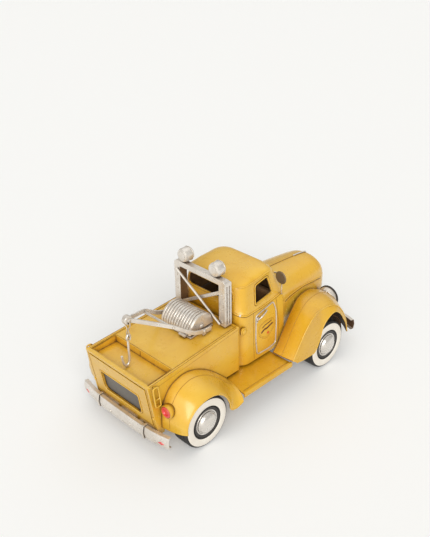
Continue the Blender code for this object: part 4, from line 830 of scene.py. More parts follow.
# ----------------------------------------------------------------------------- bed
def build_bed():
    (ut, zt), (ub, zb) = BED_TAIL_TOP, BED_TAIL_BOT
    side = [(BED_FRONT, 1.22), (BED_FRONT, BED_RAIL_FRONT_Z), (ut, zt), (ub, zb), (-1.04, zb), (-0.86, 1.22)]
    bed = prism("bed_body", side, "w", -BED_W, BED_W, YELLOW)
    t = 0.06
    inner = [(BED_FRONT - t, 1.22 + t), (BED_FRONT - t, BED_RAIL_FRONT_Z - t), (ut + t, zt - t), (tail_u(zb - 0.5) + t, zb - 0.5),
             (-0.80, zb - 0.5), (-0.80, 1.22 + t)]
    cuts = [prism("v1", inner, "w", -BED_W + t, BED_W - t, YELLOW)]
    cuts.append(block("v2", ut + RAIL, BED_FRONT - 0.10, -BED_W + RAIL, BED_W - RAIL, 2.4, 3.6, YELLOW))
    # tailgate opening above the sill, and the slot under the sill that the bumper irons pass through
    for i, (z0, z1) in enumerate(((0.955, 2.63), (0.50, 0.655))):
        rear = [(-1.48, z0), (1.48, z0), (1.48, z1), (-1.48, z1)]
        cuts.append(prism("v3%d" % i, rear, "u", -2.2, -1.14, YELLOW))
    boolean(bed, cuts, "DIFFERENCE")
    # deck plate with the sunken well behind it
    g = GAP
    w = BED_W - RAIL - g
    u0, u1 = ut + RAIL + g, BED_FRONT - 0.10 - g
    k = 0.045
    zf = rail_z(WELL_FRONT) - 0.02 - WELL_DEPTH
    zr = rail_z(u0) - WELL_DEPTH + 0.02
    prof = [(u0, rail_z(u0) - 0.04), (u0, zr - k), (WELL_FRONT + k, zf - k), (WELL_FRONT + k, rail_z(WELL_FRONT + k) - 0.02 - k),
            (u1, rail_z(u1) - 0.02 - k), (u1, rail_z(u1) - 0.02), (WELL_FRONT, rail_z(WELL_FRONT) - 0.02), (WELL_FRONT, zf),
            (u0 + k, zr), (u0 + k, rail_z(u0) - 0.04)]
    deck = prism("bed_deck", prof, "w", -w, w, YELLOW)
    walls = []
    for s in (-1, 1):
        wall = [(u0 + 0.01, zr - k * 0.5), (WELL_FRONT + 0.02, zf - k * 0.5), (WELL_FRONT + 0.02, rail_z(WELL_FRONT) - 0.03),
                (u0 + 0.01, rail_z(u0) - 0.05)]
        walls.append(prism("w%d" % s, wall, "w", s * (w - k), s * (w - 0.004), YELLOW))
    boolean(deck, walls, "UNION")
    # drop tailgate, lying in the plane of the tail, and its dark panel
    zh = 0.98
    zt2 = 2.63 - g * 1.5
    def leaf(z, off):
        return (tail_u(z) - 0.025 + off, z)
    th = 0.07
    gate = prism("tailgate", [leaf(zh, 0), leaf(zh, th), leaf(zt2, th), leaf(zt2, 0)], "w", -1.48 + g, 1.48 - g, YELLOW)
    win = rounded([(-0.97, 1.36), (-0.86, 1.24), (0.86, 1.24), (0.97, 1.36), (0.97, 2.07), (-0.97, 2.07)], 0.08)
    boolean(gate, [prism("gw", win, "u", -2.2, -0.9, YELLOW)], "DIFFERENCE")
    set_origin(gate, P(tail_u(zh) + 0.01, 0, zh))
    pan = prism("tailgate_panel", [leaf(1.12, th + g), leaf(1.12, th + g + 0.03), leaf(2.20, th + g + 0.03), leaf(2.22, th + g)],
                "w", -1.10, 1.10, GREY)
    set_origin(pan, P(tail_u(zh) + 0.01, 0, zh))
    # raised tie loops on the rear corners of the bed sides: an upright frame on two stand-offs
    for nm, s in (("tie_loop_right", 1), ("tie_loop_left", -1)):
        wo = BED_W + 0.115
        z0, z1 = 1.92, 2.74

        def uc(z):
            return -1.335 - (z - 1.92) * 0.11
        a = 0.115
        pts = [(uc(z0) + 0.9 * a, wo, z0 + 0.03), (uc(z0) + 0.4 * a, wo, z0), (uc(z0) - 0.4 * a, wo, z0), (uc(z0) - 0.9 * a, wo, z0 + 0.03),
               (uc(z0 + 0.12) - a, wo, z0 + 0.12), (uc(z1 - 0.12) - a, wo, z1 - 0.12), (uc(z1) - 0.9 * a, wo, z1 - 0.03),
               (uc(z1) - 0.4 * a, wo, z1), (uc(z1) + 0.4 * a, wo, z1), (uc(z1) + 0.9 * a, wo, z1 - 0.03),
               (uc(z1 - 0.12) + a, wo, z1 - 0.12), (uc(z0 + 0.12) + a, wo, z0 + 0.12)]
        loop = tube(nm, [(u, s * w, z) for u, w, z in pts], 0.03, 6, YELLOW, closed=True)
        zm = 2.24
        bars = [tube("l1", [(uc(zm) - a, s * wo, zm), (uc(zm) + a, s * wo, zm)], 0.024, 6, YELLOW)]
        for i, zz in enumerate((z0 + 0.01, z1 - 0.01)):
            bars.append(block("l2%d" % i, uc(zz) - 0.03, uc(zz) + 0.03, s * (BED_W + GAP), s * wo, zz - 0.022, zz + 0.022, YELLOW))
        boolean(loop, bars, "UNION")


# ----------------------------------------------------------------------------- running boards
def build_boards():
    for nm, s in (("running_board_right", 1), ("running_board_left", -1)):
        sec = [(1.20, 1.13), (1.70, 1.13), (2.56, 1.065), (2.58, 1.11), (2.66, 1.105), (2.68, 1.065), (2.68, 0.915), (2.63, 0.915),
               (2.63, 1.005), (1.70, 1.065), (1.20, 1.065)]
        r0 = [P(2.10 - max(w - 1.65, 0.0) * 0.12, s * w, z) for w, z in sec]
        r1 = [P(4.60 + max(w - 1.70, 0.0) * 0.06, s * w, z) for w, z in sec]
        loft(nm, [r0, r1], YELLOW)


# ----------------------------------------------------------------------------- mast, lamps, winch, boom
def build_recovery_gear():
    zb = rail_z(MAST_U0) + 0.02
    # mast: two posts and a beam cut from one outline, with the front top edge chamfered
    o = [(-MAST_W, zb + 0.02), (MAST_W, zb + 0.02), (MAST_W, MAST_TOP - 0.10), (MAST_W - 0.10, MAST_TOP), (-MAST_W + 0.10, MAST_TOP),
         (-MAST_W, MAST_TOP - 0.10)]
    mast = prism("mast_frame", o, "u", MAST_U0, MAST_U1, SILVER)
    hole = prism("mh", [(-1.02, 2.5), (1.02, 2.5), (1.02, 4.80), (-1.02, 4.80)], "u", 2.0, 3.0, SILVER)
    cham = prism("mc", [(MAST_U1 - 0.16, MAST_TOP + 0.05), (MAST_U1 + 0.1, MAST_TOP + 0.05), (MAST_U1 + 0.1, MAST_TOP - 0.24)],
                 "w", -2, 2, SILVER)
    boolean(mast, [hole, cham], "DIFFERENCE")
    flutes = []
    for s in (-1, 1):
        for j in range(2):
            uu = MAST_U0 + 0.09 + 0.13 * j
            flutes.append(block("f%d%d" % (s, j), uu, uu + 0.06, s * (MAST_W - 0.035), s * (MAST_W + 0.1), zb + 0.10, 4.78, SILVER))
    boolean(mast, flutes, "DIFFERENCE")
    # braces: a round rod in front of a flat strip, both across the opening
    tube("mast_brace_rod", [(MAST_U0 - 0.062, -1.13, 4.70), (MAST_U0 - 0.062, 1.13, 3.22)], 0.045, 8, SILVER)
    a, b = Vector((-1.01 + 2 * GAP, 3.30)), Vector((1.01 - 2 * GAP, 4.44))
    h = 0.075
    o = [(a.x, a.y - h), (a.x, a.y + h), (b.x, b.y + h), (b.x, b.y - h)]
    prism("mast_brace_strip", o, "u", MAST_U0 + 0.05, MAST_U0 + 0.10, SILVER)
    # work lamps: short drums on feet
    for nm, w in (("work_lamp_right", 0.82), ("work_lamp_left", -0.82)):
        body = [(0.0, -0.25), (0.20, -0.25), (0.25, -0.22), (0.27, -0.15), (0.27, 0.10), (0.25, 0.16), (0.19, 0.19), (0.0, 0.20)]
        lamp = lathe(nm, body, "u", (2.54, w, 5.33), 22, SILVER)
        foot = prism("ft" + nm, [(w - 0.09, MAST_TOP + GAP), (w + 0.09, MAST_TOP + GAP), (w + 0.07, 5.14), (w - 0.07, 5.14)],
                     "u", 2.46, 2.56, SILVER)
        boolean(lamp, [foot], "UNION")
    # winch: a ribbed half barrel on a base plate
    def deck_z(u):
        return rail_z(u) - 0.02
    uc, rd, hw = 1.715, 0.60, 0.78
    base = [(1.12, deck_z(1.12) + GAP), (2.24, deck_z(2.24) + GAP), (2.24, deck_z(2.24) + 0.07), (1.12, deck_z(1.12) + 0.07)]
    prism("winch_base", base, "w", -0.82, 0.82, SILVER)
    rings = []
    ribs = 12
    step = 2 * hw / ribs
    for i in range(ribs):
        x0 = -hw + i * step
        for (dx, rr) in ((0.0, -0.045), (0.07, -0.035), (0.15, -0.012), (0.26, -0.002), (0.5, 0.002), (0.74, -0.002), (0.85, -0.012), (0.93, -0.035)):
            rings.append((x0 + dx * step, rd + rr))
    rings.append((hw, rd - 0.045))
    rr = []
    for (w, r) in rings:
        ring = []
        for k in range(49):
            a = math.pi * k / 48
            u = uc + r * math.cos(a)
            z = 3.035 + (deck_z(uc) - 3.035) + 0.075 + 2 * GAP + 0.03 + r * math.sin(a) + (u - uc) * 0.0845
            ring.append(P(u, w, z))
        rr.append(ring)
    loft("winch_drum", rr, SILVER, smooth_angle=25)
    # boom: two flat arms that bow up from the winch base and meet at the tip, a cross strut, and a sheave eye
    def arm(s, nm):
        pts = smooth_path([(1.98, s * 0.985, 3.16), (1.62, s * 0.985, 3.19), (1.15, s * 0.985, 3.33), (0.72, s * 0.90, 3.60),
                           (0.36, s * 0.76, 3.84), (-0.30, s * 0.40, 4.13), (-0.94, s * 0.055, 4.40)], 3)
        return tube(nm, pts, 0, 0, SILVER, flat=(0.07, 0.15))
    boom = arm(1, "boom_frame")
    tu, tw, tz = BOOM_TIP
    eye = lathe("be", [(0.0, -0.10), (0.15, -0.10), (0.17, -0.07), (0.17, 0.07), (0.15, 0.10), (0.0, 0.10)], "w", BOOM_TIP, 18, SILVER)
    strut = tube("bs", [(0.36, -0.77, 3.80), (0.36, 0.77, 3.80)], 0.05, 8, SILVER)
    shaft = tube("bt", [(1.0, -0.985, 3.235 + 0.13), (1.0, -0.93, 3.235 + 0.13)], 0.05, 8, SILVER)
    feet = []
    for s in (-1, 1):
        feet.append(block("bf%d" % s, 1.55, 1.70, s * 0.95, s * 1.02, deck_z(1.7) + 0.015, 3.22, SILVER))
    boolean(boom, [arm(-1, "ba"), eye, strut] + feet, "UNION")
    bpy.data.objects.remove(shaft, do_unlink=True)
    hole = lathe("bh", [(0.0, -0.4), (0.06, -0.4), (0.06, 0.4), (0.0, 0.4)], "w", (tu, 0, tz - 0.07), 12, SILVER)
    boolean(boom, [hole], "DIFFERENCE")


# ----------------------------------------------------------------------------- hanging pieces
HOOK_EYE = (-1.00, 0.0, 3.80)


def build_hook():
    tu, tw, tz = BOOM_TIP
    r = 0.022
    # wire: a square loop through the boss, a doubled run and a lower loop, all one closed wire
    ez = HOOK_EYE[2]
    half = [(0.0, tz - 0.065), (0.125, tz - 0.068), (0.142, tz - 0.10), (0.142, tz - 0.21), (0.10, tz - 0.29), (0.034, tz - 0.37),
            (0.030, ez + 0.16), (0.070, ez + 0.07), (0.078, ez + 0.01), (0.062, ez - 0.05), (0.0, ez - 0.075)]
    path = [(tu, w, z) for w, z in half] + [(tu, -w, z) for w, z in reversed(half[1:-1])]
    c = tube("hoist_wire", path, r, 6, SILVER, closed=True)
    set_origin(c, P(tu, 0, tz - 0.065))
    # hook: eye, shank and open bill, bent from round bar
    cz = ez - 0.120
    loop = [(tu + 0.075 * math.sin(a), 0.0, cz - 0.125 * math.cos(a)) for a in
            [math.radians(40 + 290 * k / 12) for k in range(13)]]
    bill = [(tu - 0.03, 0.0, cz - 0.26), (tu - 0.03, 0.0, cz - 0.54), (tu - 0.025, 0.0, cz - 0.80), (tu - 0.06, 0.0, cz - 0.98),
            (tu - 0.155, 0.0, cz - 1.06), (tu - 0.25, 0.0, cz - 1.00), (tu - 0.31, 0.0, cz - 0.83), (tu - 0.35, 0.0, cz - 0.60)]
    pts = smooth_path([loop[0], loop[3], loop[6], loop[9], loop[12]] + bill, 3)
    h = tube("tow_hook", pts, 0.042, 8, SILVER)
    set_origin(h, P(tu, 0, ez - 0.075))


# ----------------------------------------------------------------------------- bumpers and lights
def bumper(name, path, out, z0, z1):
    """Channel bar swept along a path of (u, w); out = +1 faces forward, -1 faces back."""
    h = z1 - z0
    sec = [(0.0, 0.0), (0.045, 0.5 * h), (0.0, h), (-0.15, h), (-0.15, h - 0.045), (-0.045, h - 0.045), (0.0, 0.5 * h),
           (-0.045, 0.045), (-0.15, 0.045), (-0.15, 0.0)]
    rings = []
    n = len(path)
    for i in range(n):
        d = Vector(path[min(i + 1, n - 1)]) - Vector(path[max(i - 1, 0)])
        nor = Vector((d.y, -d.x)).normalized()
        if nor.x * out < 0:
            nor = -nor
        rings.append([P(path[i][0] + nor.x * o, path[i][1] + nor.y * o, z0 + z) for o, z in sec])
    return loft(name, rings, SILVER, smooth_angle=25)


def build_bumpers_and_lights():
    bumper("rear_bumper", [(-1.44, -2.30), (-1.52, -1.95), (-1.58, -1.55), (-1.62, -1.05), (-1.63, 0.0), (-1.62, 1.05), (-1.58, 1.55),
                           (-1.52, 1.95), (-1.44, 2.30)], -1, 0.43, 0.90)
    bumper("front_bumper", [(9.08, -2.34), (9.18, -2.0), (9.26, -1.5), (9.32, -0.8), (9.335, 0.0), (9.32, 0.8), (9.26, 1.5),
                            (9.18, 2.0), (9.08, 2.34)], 1, 0.45, 0.90)
    for nm, s in (("bumper_guard_right", 1), ("bumper_guard_left", -1)):
        # strap that wraps the bar
        g = 0.012
        f = -1.615
        o = [(f + 0.17, 0.90 + g + 0.035), (f, 0.90 + g + 0.035), (f - 0.045, 0.90), (f - 0.083, 0.665), (f - 0.045, 0.41),
             (f - 0.01, 0.38), (f + 0.06, 0.40), (f - g, 0.43 - g), (f - 0.045 - g, 0.665), (f - g, 0.90 + g), (f + 0.17, 0.90 + g)]
        prism(nm, o, "w", s * 1.17, s * 1.25, SILVER)
    for nm, s in (("right", 1), ("left", -1)):
        c = (8.21, s * 1.50, 2.02)
        prof = [(0.0, -0.78), (0.14, -0.74), (0.28, -0.60), (0.39, -0.38), (0.44, -0.12), (0.45, 0.0), (0.45, 0.06), (0.485, 0.06),
                (0.485, 0.13), (0.44, 0.15), (0.42, 0.09), (0.0, 0.07)]
        shell = lathe("headlight_" + nm, prof, "u", c, 40, SILVER, smooth_angle=50)
        shell.data.materials.append(BLACK)
        mid_line = P(*c)
        for v in shell.data.vertices:
            d = v.co - mid_line
            x = -d.y / TYRE_R
            if -0.70 < x < -0.03:
                k = 1.0 - 0.030 * max(0.0, math.cos(20.0 * math.atan2(d.z, d.x))) ** 2
                v.co = Vector((mid_line.x + d.x * k, v.co.y, mid_line.z + d.z * k))
        for f in shell.data.polygons:
            d = f.center - mid_line
            if -d.y / TYRE_R > 0.055 and math.hypot(d.x, d.z) / TYRE_R > 0.43:
                f.material_index = 1
        for ob in (shell,
                   lathe("headlight_lens_" + nm, [(0.0, 0.07 + GAP), (0.40, 0.09 + GAP), (0.41, 0.12), (0.30, 0.17), (0.15, 0.20), (0.0, 0.21)],
                         "u", c, 20, GLASS)):
            wide = [[r[0] + (r[0] - r[1]).normalized() * 0.14 * TYRE_R] + r for r in front_grid[nm]]
            boolean(ob, [sheet("hc", wide, SHEET + GAP, YELLOW, flip=(s > 0), lift=GAP)], "DIFFERENCE")
            keep_piece(ob, (0, -0.3, 1))
        # tail lamps stick out of the rear fenders
        c = (-1.18, s * 1.925, 1.67)
        lamp = lathe("tail_lamp_" + nm, [(0.0, 0.08), (0.220, 0.08), (0.220, 0.0), (0.252, 0.0), (0.260, 0.06), (0.260, 0.62), (0.0, 0.62)],
                     "u", c, 20, YELLOW)
        boolean(lamp, [sheet("tc", rear_grid[nm], SHEET + GAP, YELLOW, flip=(s > 0), lift=GAP)], "DIFFERENCE")
        keep_piece(lamp, (0, 1, 0))
        lathe("tail_lens_" + nm, [(0.0, 0.03), (0.11, 0.03), (0.135, -0.02), (0.188, -0.02), (0.208, 0.0), (0.208, 0.08 - GAP),
                                  (0.0, 0.08 - GAP)], "u", c, 18, RED)
    # round mirror on a bent wire stay, right side only
    disc = lathe("side_mirror_right", [(0.0, -0.03), (0.22, -0.03), (0.26, 0.0), (0.22, 0.04), (0.12, 0.07), (0.0, 0.08)],
                 "u", (4.86, 1.80, 4.40), 20, SILVER)
    stay = [tube("ms1", [(4.90, 1.80, 4.38), (4.96, 1.76, 3.95), (5.10, 1.64, 3.60), (5.24, 1.54, 3.44)], 0.03, 6, SILVER),
            tube("ms2", [(4.90, 1.80, 4.42), (4.90, 1.58, 4.50), (4.86, 1.46, 4.50)], 0.03, 6, SILVER)]
    boolean(disc, stay, "UNION")


# ----------------------------------------------------------------------------- fine build of every node
rear_grid, front_grid = {}, {}
build_chassis()
for tag, u, s in (("front_right", WHEELBASE, 1), ("front_left", WHEELBASE, -1), ("rear_right", 0.0, 1), ("rear_left", 0.0, -1)):
    build_wheel(tag, u, s)
NS_REAR, NS_FRONT = 20, 16
for side_name, s in (("right", 1), ("left", -1)):
    rear_grid[side_name] = fender("rear_fender_" + side_name, s, REAR_SEAM, REAR_EDGE, [BED_W + GAP] * len(REAR_SEAM), FENDER_W + 0.06, REAR_POWER, 3, NS_REAR)
    front_grid[side_name] = front_fender("front_fender_" + side_name, s, 3, NS_FRONT)
build_cab()
build_hood()
build_bed()
build_boards()
build_recovery_gear()
build_hook()
build_bumpers_and_lights()

BODY_OF = {}
for body_name, members in frame["record"]["behaviour"]["bodies"].items():
    for node_name in members:
        BODY_OF[node_name] = body_name
V = {n: bpy.data.objects["v_" + n] for n in BODY_OF}

# ---- second colours on the fine pieces: the mirror face and the wire take their own colours; inner, under and rear faces, the running boards and the front fenders take painted shade
def recolour(ob, mat, test):
    """Give a second colour to the faces whose centre and normal pass the test, for a real finish and for painted shade
    alike.
    """
    ob.data.materials.append(mat)
    k = len(ob.data.materials) - 1
    mw = ob.matrix_world
    for f in ob.data.polygons:
        if test(mw @ f.center, f.normal):
            f.material_index = k


heart = P(4.1, 0.0, 3.2)
# faces of the cab shell that look in towards its middle take the brown: painted shade
recolour(V["cab_shell"], CAB_INSIDE_SHADE, lambda c, n: (heart - c).normalized().dot(n) > 0.25)
# faces under the hood that look inwards take the dark brown: painted shade
recolour(V["hood"], DARK_AND_SHADE, lambda c, n: (P(7.0, 0.0, 2.4) - Vector((0, (P(7.0, 0, 0) - c).y, 0)) - c).normalized().dot(n) > 0.3)
# faces of the fenders that look towards the wheel hub take the dark brown: painted shade
for sn in ("right", "left"):
    hub_r, hub_f = W(0, 0, HUB_Z), W(WHEELBASE, 0, HUB_Z)
    recolour(V["rear_fender_" + sn], DARK_AND_SHADE, lambda c, n: Vector((0, (hub_r - c).y, (hub_r - c).z)).normalized().dot(n) > 0.35)
    recolour(V["front_fender_" + sn], DARK_AND_SHADE, lambda c, n: Vector((0, (hub_f - c).y, (hub_f - c).z)).normalized().dot(n) > 0.35)
# inner faces of the bed box below the deck take the dark brown: painted shade
recolour(V["bed_body"], DARK_AND_SHADE, lambda c, n: abs(c.x) < (BED_W - 0.05) * TYRE_R and c.z < P(0, 0, 2.58).z and P(-0.9, 0, 0).y > c.y > P(BED_FRONT - 0.05, 0, 0).y and
         (P(0.6, 0, 1.9) - c).normalized().dot(n) > 0.2)
recolour(V["side_mirror_right"], MIRROR, lambda c, n: n.y > 0.5 and (c - P(4.86, 1.80, 4.40)).length < 0.30 * TYRE_R)
# undersides of the running boards take the dark brown: painted shade
recolour(V["running_board_right"], DARK_AND_SHADE, lambda c, n: n.z < -0.6)
recolour(V["running_board_left"], DARK_AND_SHADE, lambda c, n: n.z < -0.6)
recolour(V["hoist_wire"], WIRE, lambda c, n: True)
# rear-facing faces of the front bumper take the dark brown: painted shade
recolour(V["front_bumper"], DARK_AND_SHADE, lambda c, n: n.y > 0.25)
# the running boards and front fenders swap the yellow for its darker copy: painted shade
for n in ("running_board_right", "running_board_left", "front_fender_right", "front_fender_left"):
    for i, m in enumerate(V[n].data.materials):
        if m == YELLOW:
            V[n].data.materials[i] = YELLOW_SHADED
for f in V["bed_deck"].data.polygons:
    f.use_smooth = False
recolour(V["mast_frame"], SHADE, lambda c, n: abs(n.x) > 0.9 and abs(c.x) < 1.06 * TYRE_R and c.x * n.x < 0)


# ----------------------------------------------------------------------------- trim
def tree_of(ob):
    bm = bmesh.new()
    bm.from_mesh(ob.data)
    bm.transform(ob.matrix_world)
    t = BVHTree.FromBMesh(bm)
    bm.free()
    return t


def dense(pts, step=0.05, closed=False):
    out = []
    n = len(pts)
    for i in range(n if closed else n - 1):
        a, b = Vector(pts[i]), Vector(pts[(i + 1) % n])
        k = max(1, int((b - a).length / step))
        for j in range(k):
            out.append(tuple(a.lerp(b, j / k)))
    if not closed:
        out.append(tuple(pts[-1]))
    return out


def shoot(tree, start, d, lift=0.0):
    hit, nor, _, _ = tree.ray_cast(start, d)
    if hit is None:
        return None
    return hit + nor * lift * TYRE_R


def on_side(tree, pts, s, lift=0.0, w=3.4):
    """Points (u, z) thrown sideways onto the body."""
    got = [shoot(tree, P(u, s * w, z), Vector((s, 0, 0)), lift) for u, z in pts]
    return [g for g in got if g is not None]


def on_top(tree, pts, lift=0.0, z=5.6):
    got = [shoot(tree, P(u, w, z), Vector((0, 0, -1)), lift) for u, w in pts]
    return [g for g in got if g is not None]


def on_end(tree, pts, u, d, lift=0.0):
    """Points (w, z) thrown along the truck; d = +1 forward, -1 back."""
    got = [shoot(tree, P(u, w, z), Vector((0, -d, 0)), lift) for w, z in pts]
    return [g for g in got if g is not None]


def keep(ob, body="truck"):
    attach(ob, body)
    return ob


def bead(name, pts, r, mat, body="truck", closed=False, sides=10, squash=1.0):
    """Round bead or bent wire through points in the world, with closed, slightly domed ends."""
    q = [pts[0]]
    for p in pts[1:]:
        if (p - q[-1]).length > 1e-5:
            q.append(p)
    n = len(q)
    rr = r * TYRE_R
    rings = []
    normal = None
    for i in range(n):
        if closed:
            t = (q[(i + 1) % n] - q[i - 1]).normalized()
        else:
            t = (q[min(i + 1, n - 1)] - q[max(i - 1, 0)]).normalized()
        if normal is None:
            up = Vector((1, 0, 0)) if abs(t.x) < 0.8 else Vector((0, 0, 1))
            normal = (up - t * up.dot(t)).normalized()
        else:
            normal = (normal - t * normal.dot(t)).normalized()
        side = t.cross(normal).normalized()
        ring = [q[i] + (normal * math.cos(2 * math.pi * k / sides) * squash + side * math.sin(2 * math.pi * k / sides)) * rr
                for k in range(sides)]
        if not closed and i in (0, n - 1):
            e = -1 if i == 0 else 1
            c = q[i]
            inner = [c + (p - c) * 0.55 + t * (e * rr * 0.45) for p in ring]
            rings += [inner, ring] if i == 0 else [ring, inner]
        else:
            rings.append(ring)
    return keep(loft(name, rings, mat, closed_path=closed, smooth_angle=60), body)


def boss(name, p, nor, r, h, mat, body="truck", dome=0.5, seg=24):
    """Small turned boss, rivet or knob standing on a surface point."""
    nor = nor.normalized()
    a = Vector((0, 0, 1)) if abs(nor.z) < 0.9 else Vector((0, 1, 0))
    x = nor.cross(a).normalized()
    y = nor.cross(x)
    prof = [(1.0, -0.25), (1.0, h * (1 - dome)), (0.9, h * (1 - dome * 0.55)), (0.68, h * (1 - dome * 0.22)), (0.36, h * (1 - dome * 0.05)), (0.12, h)]
    rings = []
    for rad, z in prof:
        rings.append([p + (x * math.cos(2 * math.pi * k / seg) + y * math.sin(2 * math.pi * k / seg)) * rad * r * TYRE_R + nor * z * r * TYRE_R
                      for k in range(seg)])
    return keep(loft(name, rings, mat, smooth_angle=50), body)


def grow(outline, d):
    """Push a closed outline away from its middle by about d."""
    c = Vector((sum(p[0] for p in outline) / len(outline), sum(p[1] for p in outline) / len(outline)))
    out = []
    for p in outline:
        v = Vector(p) - c
        q = c + v * (1 + d / max(v.length, 1e-6))
        out.append((q.x, q.y))
    return out


CAB, HOOD, BED = tree_of(V["cab_shell"]), tree_of(V["hood"]), tree_of(V["bed_body"])
LINE = 0.011

for sn, s in (("right", 1), ("left", -1)):
    # door: silver outline, handle, badge
    door = rounded([(3.73, 3.12), (4.79, 3.29), (4.94, 2.87), (4.92, 2.29), (4.85, 1.44), (4.41, 1.38), (3.78, 1.41), (3.69, 2.14), (3.73, 2.83)], 0.13, 5)
    bead("door_trim_" + sn, on_side(CAB, dense(door, 0.06, True), s, 0.004), 0.030, SILVER, closed=True)
    c = on_side(CAB, [(3.85, 2.95)], s)[0]
    out = Vector((-s, 0, 0))
    boss("door_handle_rose_" + sn, c, out, 0.085, 0.5, SILVER)
    lever = [c + out * 0.05 * TYRE_R]
    for (u, z), k in zip(((3.92, 3.01), (4.02, 3.07), (4.16, 3.11), (4.32, 3.14)), (0.105, 0.125, 0.115, 0.07)):
        lever.append(on_side(CAB, [(u, z)], s, k)[0])
    bead("door_handle_" + sn, [Vector(p) for p in smooth_path([tuple(p) for p in lever], 6)], 0.034, SILVER, squash=0.8)
    k = on_side(CAB, [(3.80, 2.83)], s)[0]
    boss("door_lock_" + sn, k, out, 0.04, 0.6, SILVER)
    # door badge: a plain shield with two bars and a dot
    shield = rounded([(3.90, 2.60), (4.34, 2.69), (4.80, 2.62), (4.83, 2.24), (4.34, 1.84), (3.86, 2.16)], 0.22, 6)
    bead("door_shield_" + sn, on_side(CAB, dense(shield, 0.05, True), s, -0.003), 0.010, FAINT, closed=True)
    inner = grow(shield, -0.055)
    bead("door_shield_inner_" + sn, on_side(CAB, dense(inner, 0.05, True), s, -0.003), 0.007, FAINT, closed=True)
    wing = dense([(4.03, 2.25), (4.20, 2.33), (4.36, 2.32), (4.52, 2.37), (4.70, 2.41)], 0.03)
    bead("door_mark_a_" + sn, on_side(CAB, wing, s, -0.008), 0.034, BADGE_DARK)
    wing = dense([(4.10, 2.44), (4.26, 2.50), (4.50, 2.52), (4.64, 2.55)], 0.03)
    bead("door_mark_b_" + sn, on_side(CAB, wing, s, 0.0), 0.018, BADGE_DARK)
    p = on_side(CAB, [(4.42, 2.10)], s)[0]
    boss("door_mark_dot_" + sn, p, out, 0.055, 0.3, BADGE_RED)
    # door shut lines running up beside the trim
    for i, path in enumerate(([(3.62, 1.30), (3.58, 2.2), (3.62, 3.28)], [(5.02, 1.30), (5.06, 2.3), (4.98, 3.36)])):
        bead("door_gap_%d_%s" % (i, sn), on_side(CAB, dense(path, 0.06), s, -0.004), LINE, WASH)
    # belt moulding, drip line, window frames
    belt = [(2.86, 3.50), (3.00, 3.42), (3.20, 3.36), (4.09, 3.36), (4.70, 3.40), (5.30, 3.46)]
    bead("belt_line_" + sn, on_side(CAB, dense(belt, 0.05), s, 0.004), 0.034, YELLOW)
    bead("belt_wash_" + sn, on_side(CAB, dense([(u, z - 0.055) for u, z in belt], 0.05), s, -0.003), LINE, WASH)
    drip = [(3.10, 4.46), (3.35, 4.47), (3.70, 4.50), (4.09, 4.53), (4.44, 4.58), (4.70, 4.60)]
    bead("drip_rail_" + sn, on_side(CAB, dense(drip, 0.05), s, 0.005), 0.030, YELLOW)
    win = [(3.80, 3.58), (4.76, 3.68), (4.52, 4.40), (3.87, 4.30)]
    o = rounded(win, 0.10, 6)
    bead("window_bead_" + sn, on_side(CAB, dense(grow(o, 0.055), 0.05, True), s, 0.004), 0.028, YELLOW, closed=True)
    bead("window_wash_" + sn, on_side(CAB, dense(grow(o, 0.10), 0.05, True), s, -0.003), 0.009, WASH, closed=True)
    # hood mouldings and cowl line
    up = [(5.60, 2.93), (6.09, 2.92), (7.22, 2.89), (8.14, 2.77), (8.42, 2.70)]
    bead("hood_moulding_a_" + sn, on_side(HOOD, dense(up, 0.06), s, 0.004), 0.024, YELLOW)
    bead("hood_moulding_b_" + sn, on_side(HOOD, dense([(u, z - 0.085) for u, z in up], 0.06), s, 0.004), 0.018, YELLOW)
    bead("hood_moulding_wash_" + sn, on_side(HOOD, dense([(u, z - 0.045) for u, z in up], 0.06), s, -0.002), LINE, WASH)
    for j in range(5):
        u = 6.35 + j * 0.27
        lv = dense([(u, 2.62), (u + 0.05, 2.28)], 0.05)
        got = on_side(HOOD, lv, s, 0.0)
        if len(got) > 2:
            bead("hood_louvre_%d_%s" % (j, sn), got, 0.026, YELLOW)
    cowl = []
    for k in range(25):
        a = math.radians(4 + 86 * k / 24)
        g = shoot(HOOD, P(5.50, s * 1.9 * math.cos(a), 2.88 + 1.9 * math.sin(a)), (P(5.50, 0, 2.88) - P(5.50, s * 1.9 * math.cos(a), 2.88 + 1.9 * math.sin(a))).normalized(), 0.002)
        if g is not None:
            cowl.append(g)
    if len(cowl) > 4:
        bead("cowl_line_" + sn, cowl, 0.020, YELLOW)
    # fenders: ridge bead, seams, edge rolls
    g = rear_grid[sn]
    n = len(g)
    jm = NS_REAR // 3
    bead("rear_fender_seam_" + sn, [g[i][jm] for i in range(2, n - 4)], 0.010, FAINT)
    bead("rear_fender_root_" + sn, [g[i][0] + Vector((-s * 0.004, 0, 0)) * TYRE_R for i in range(0, n)], 0.016, WASH)
    bead("rear_fender_edge_" + sn, [g[i][NS_REAR] + Vector((s * 0.012, 0, 0)) * TYRE_R for i in range(0, n)], 0.026, YELLOW)
    g = front_grid[sn]
    n = len(g)
    bead("front_fender_ridge_" + sn, [g[i][NS_FRONT] for i in range(0, n)], 0.024, YELLOW)
    bead("front_fender_seam_" + sn, [g[i][int(NS_FRONT * 0.45)] for i in range(0, n)], 0.009, FAINT)
    bead("front_fender_root_" + sn, [g[i][0] + Vector((-s * 0.004, 0, 0)) * TYRE_R for i in range(0, n)], 0.015, WASH)
    bead("front_fender_foot_" + sn, [q + Vector((0, -0.004, 0)) * TYRE_R for q in g[0][:NS_FRONT + 1]], 0.014, WASH)
    bead("front_fender_edge_" + sn, [g[i][-1] + Vector((s * 0.012, 0, 0)) * TYRE_R for i in range(0, n)], 0.022, YELLOW)
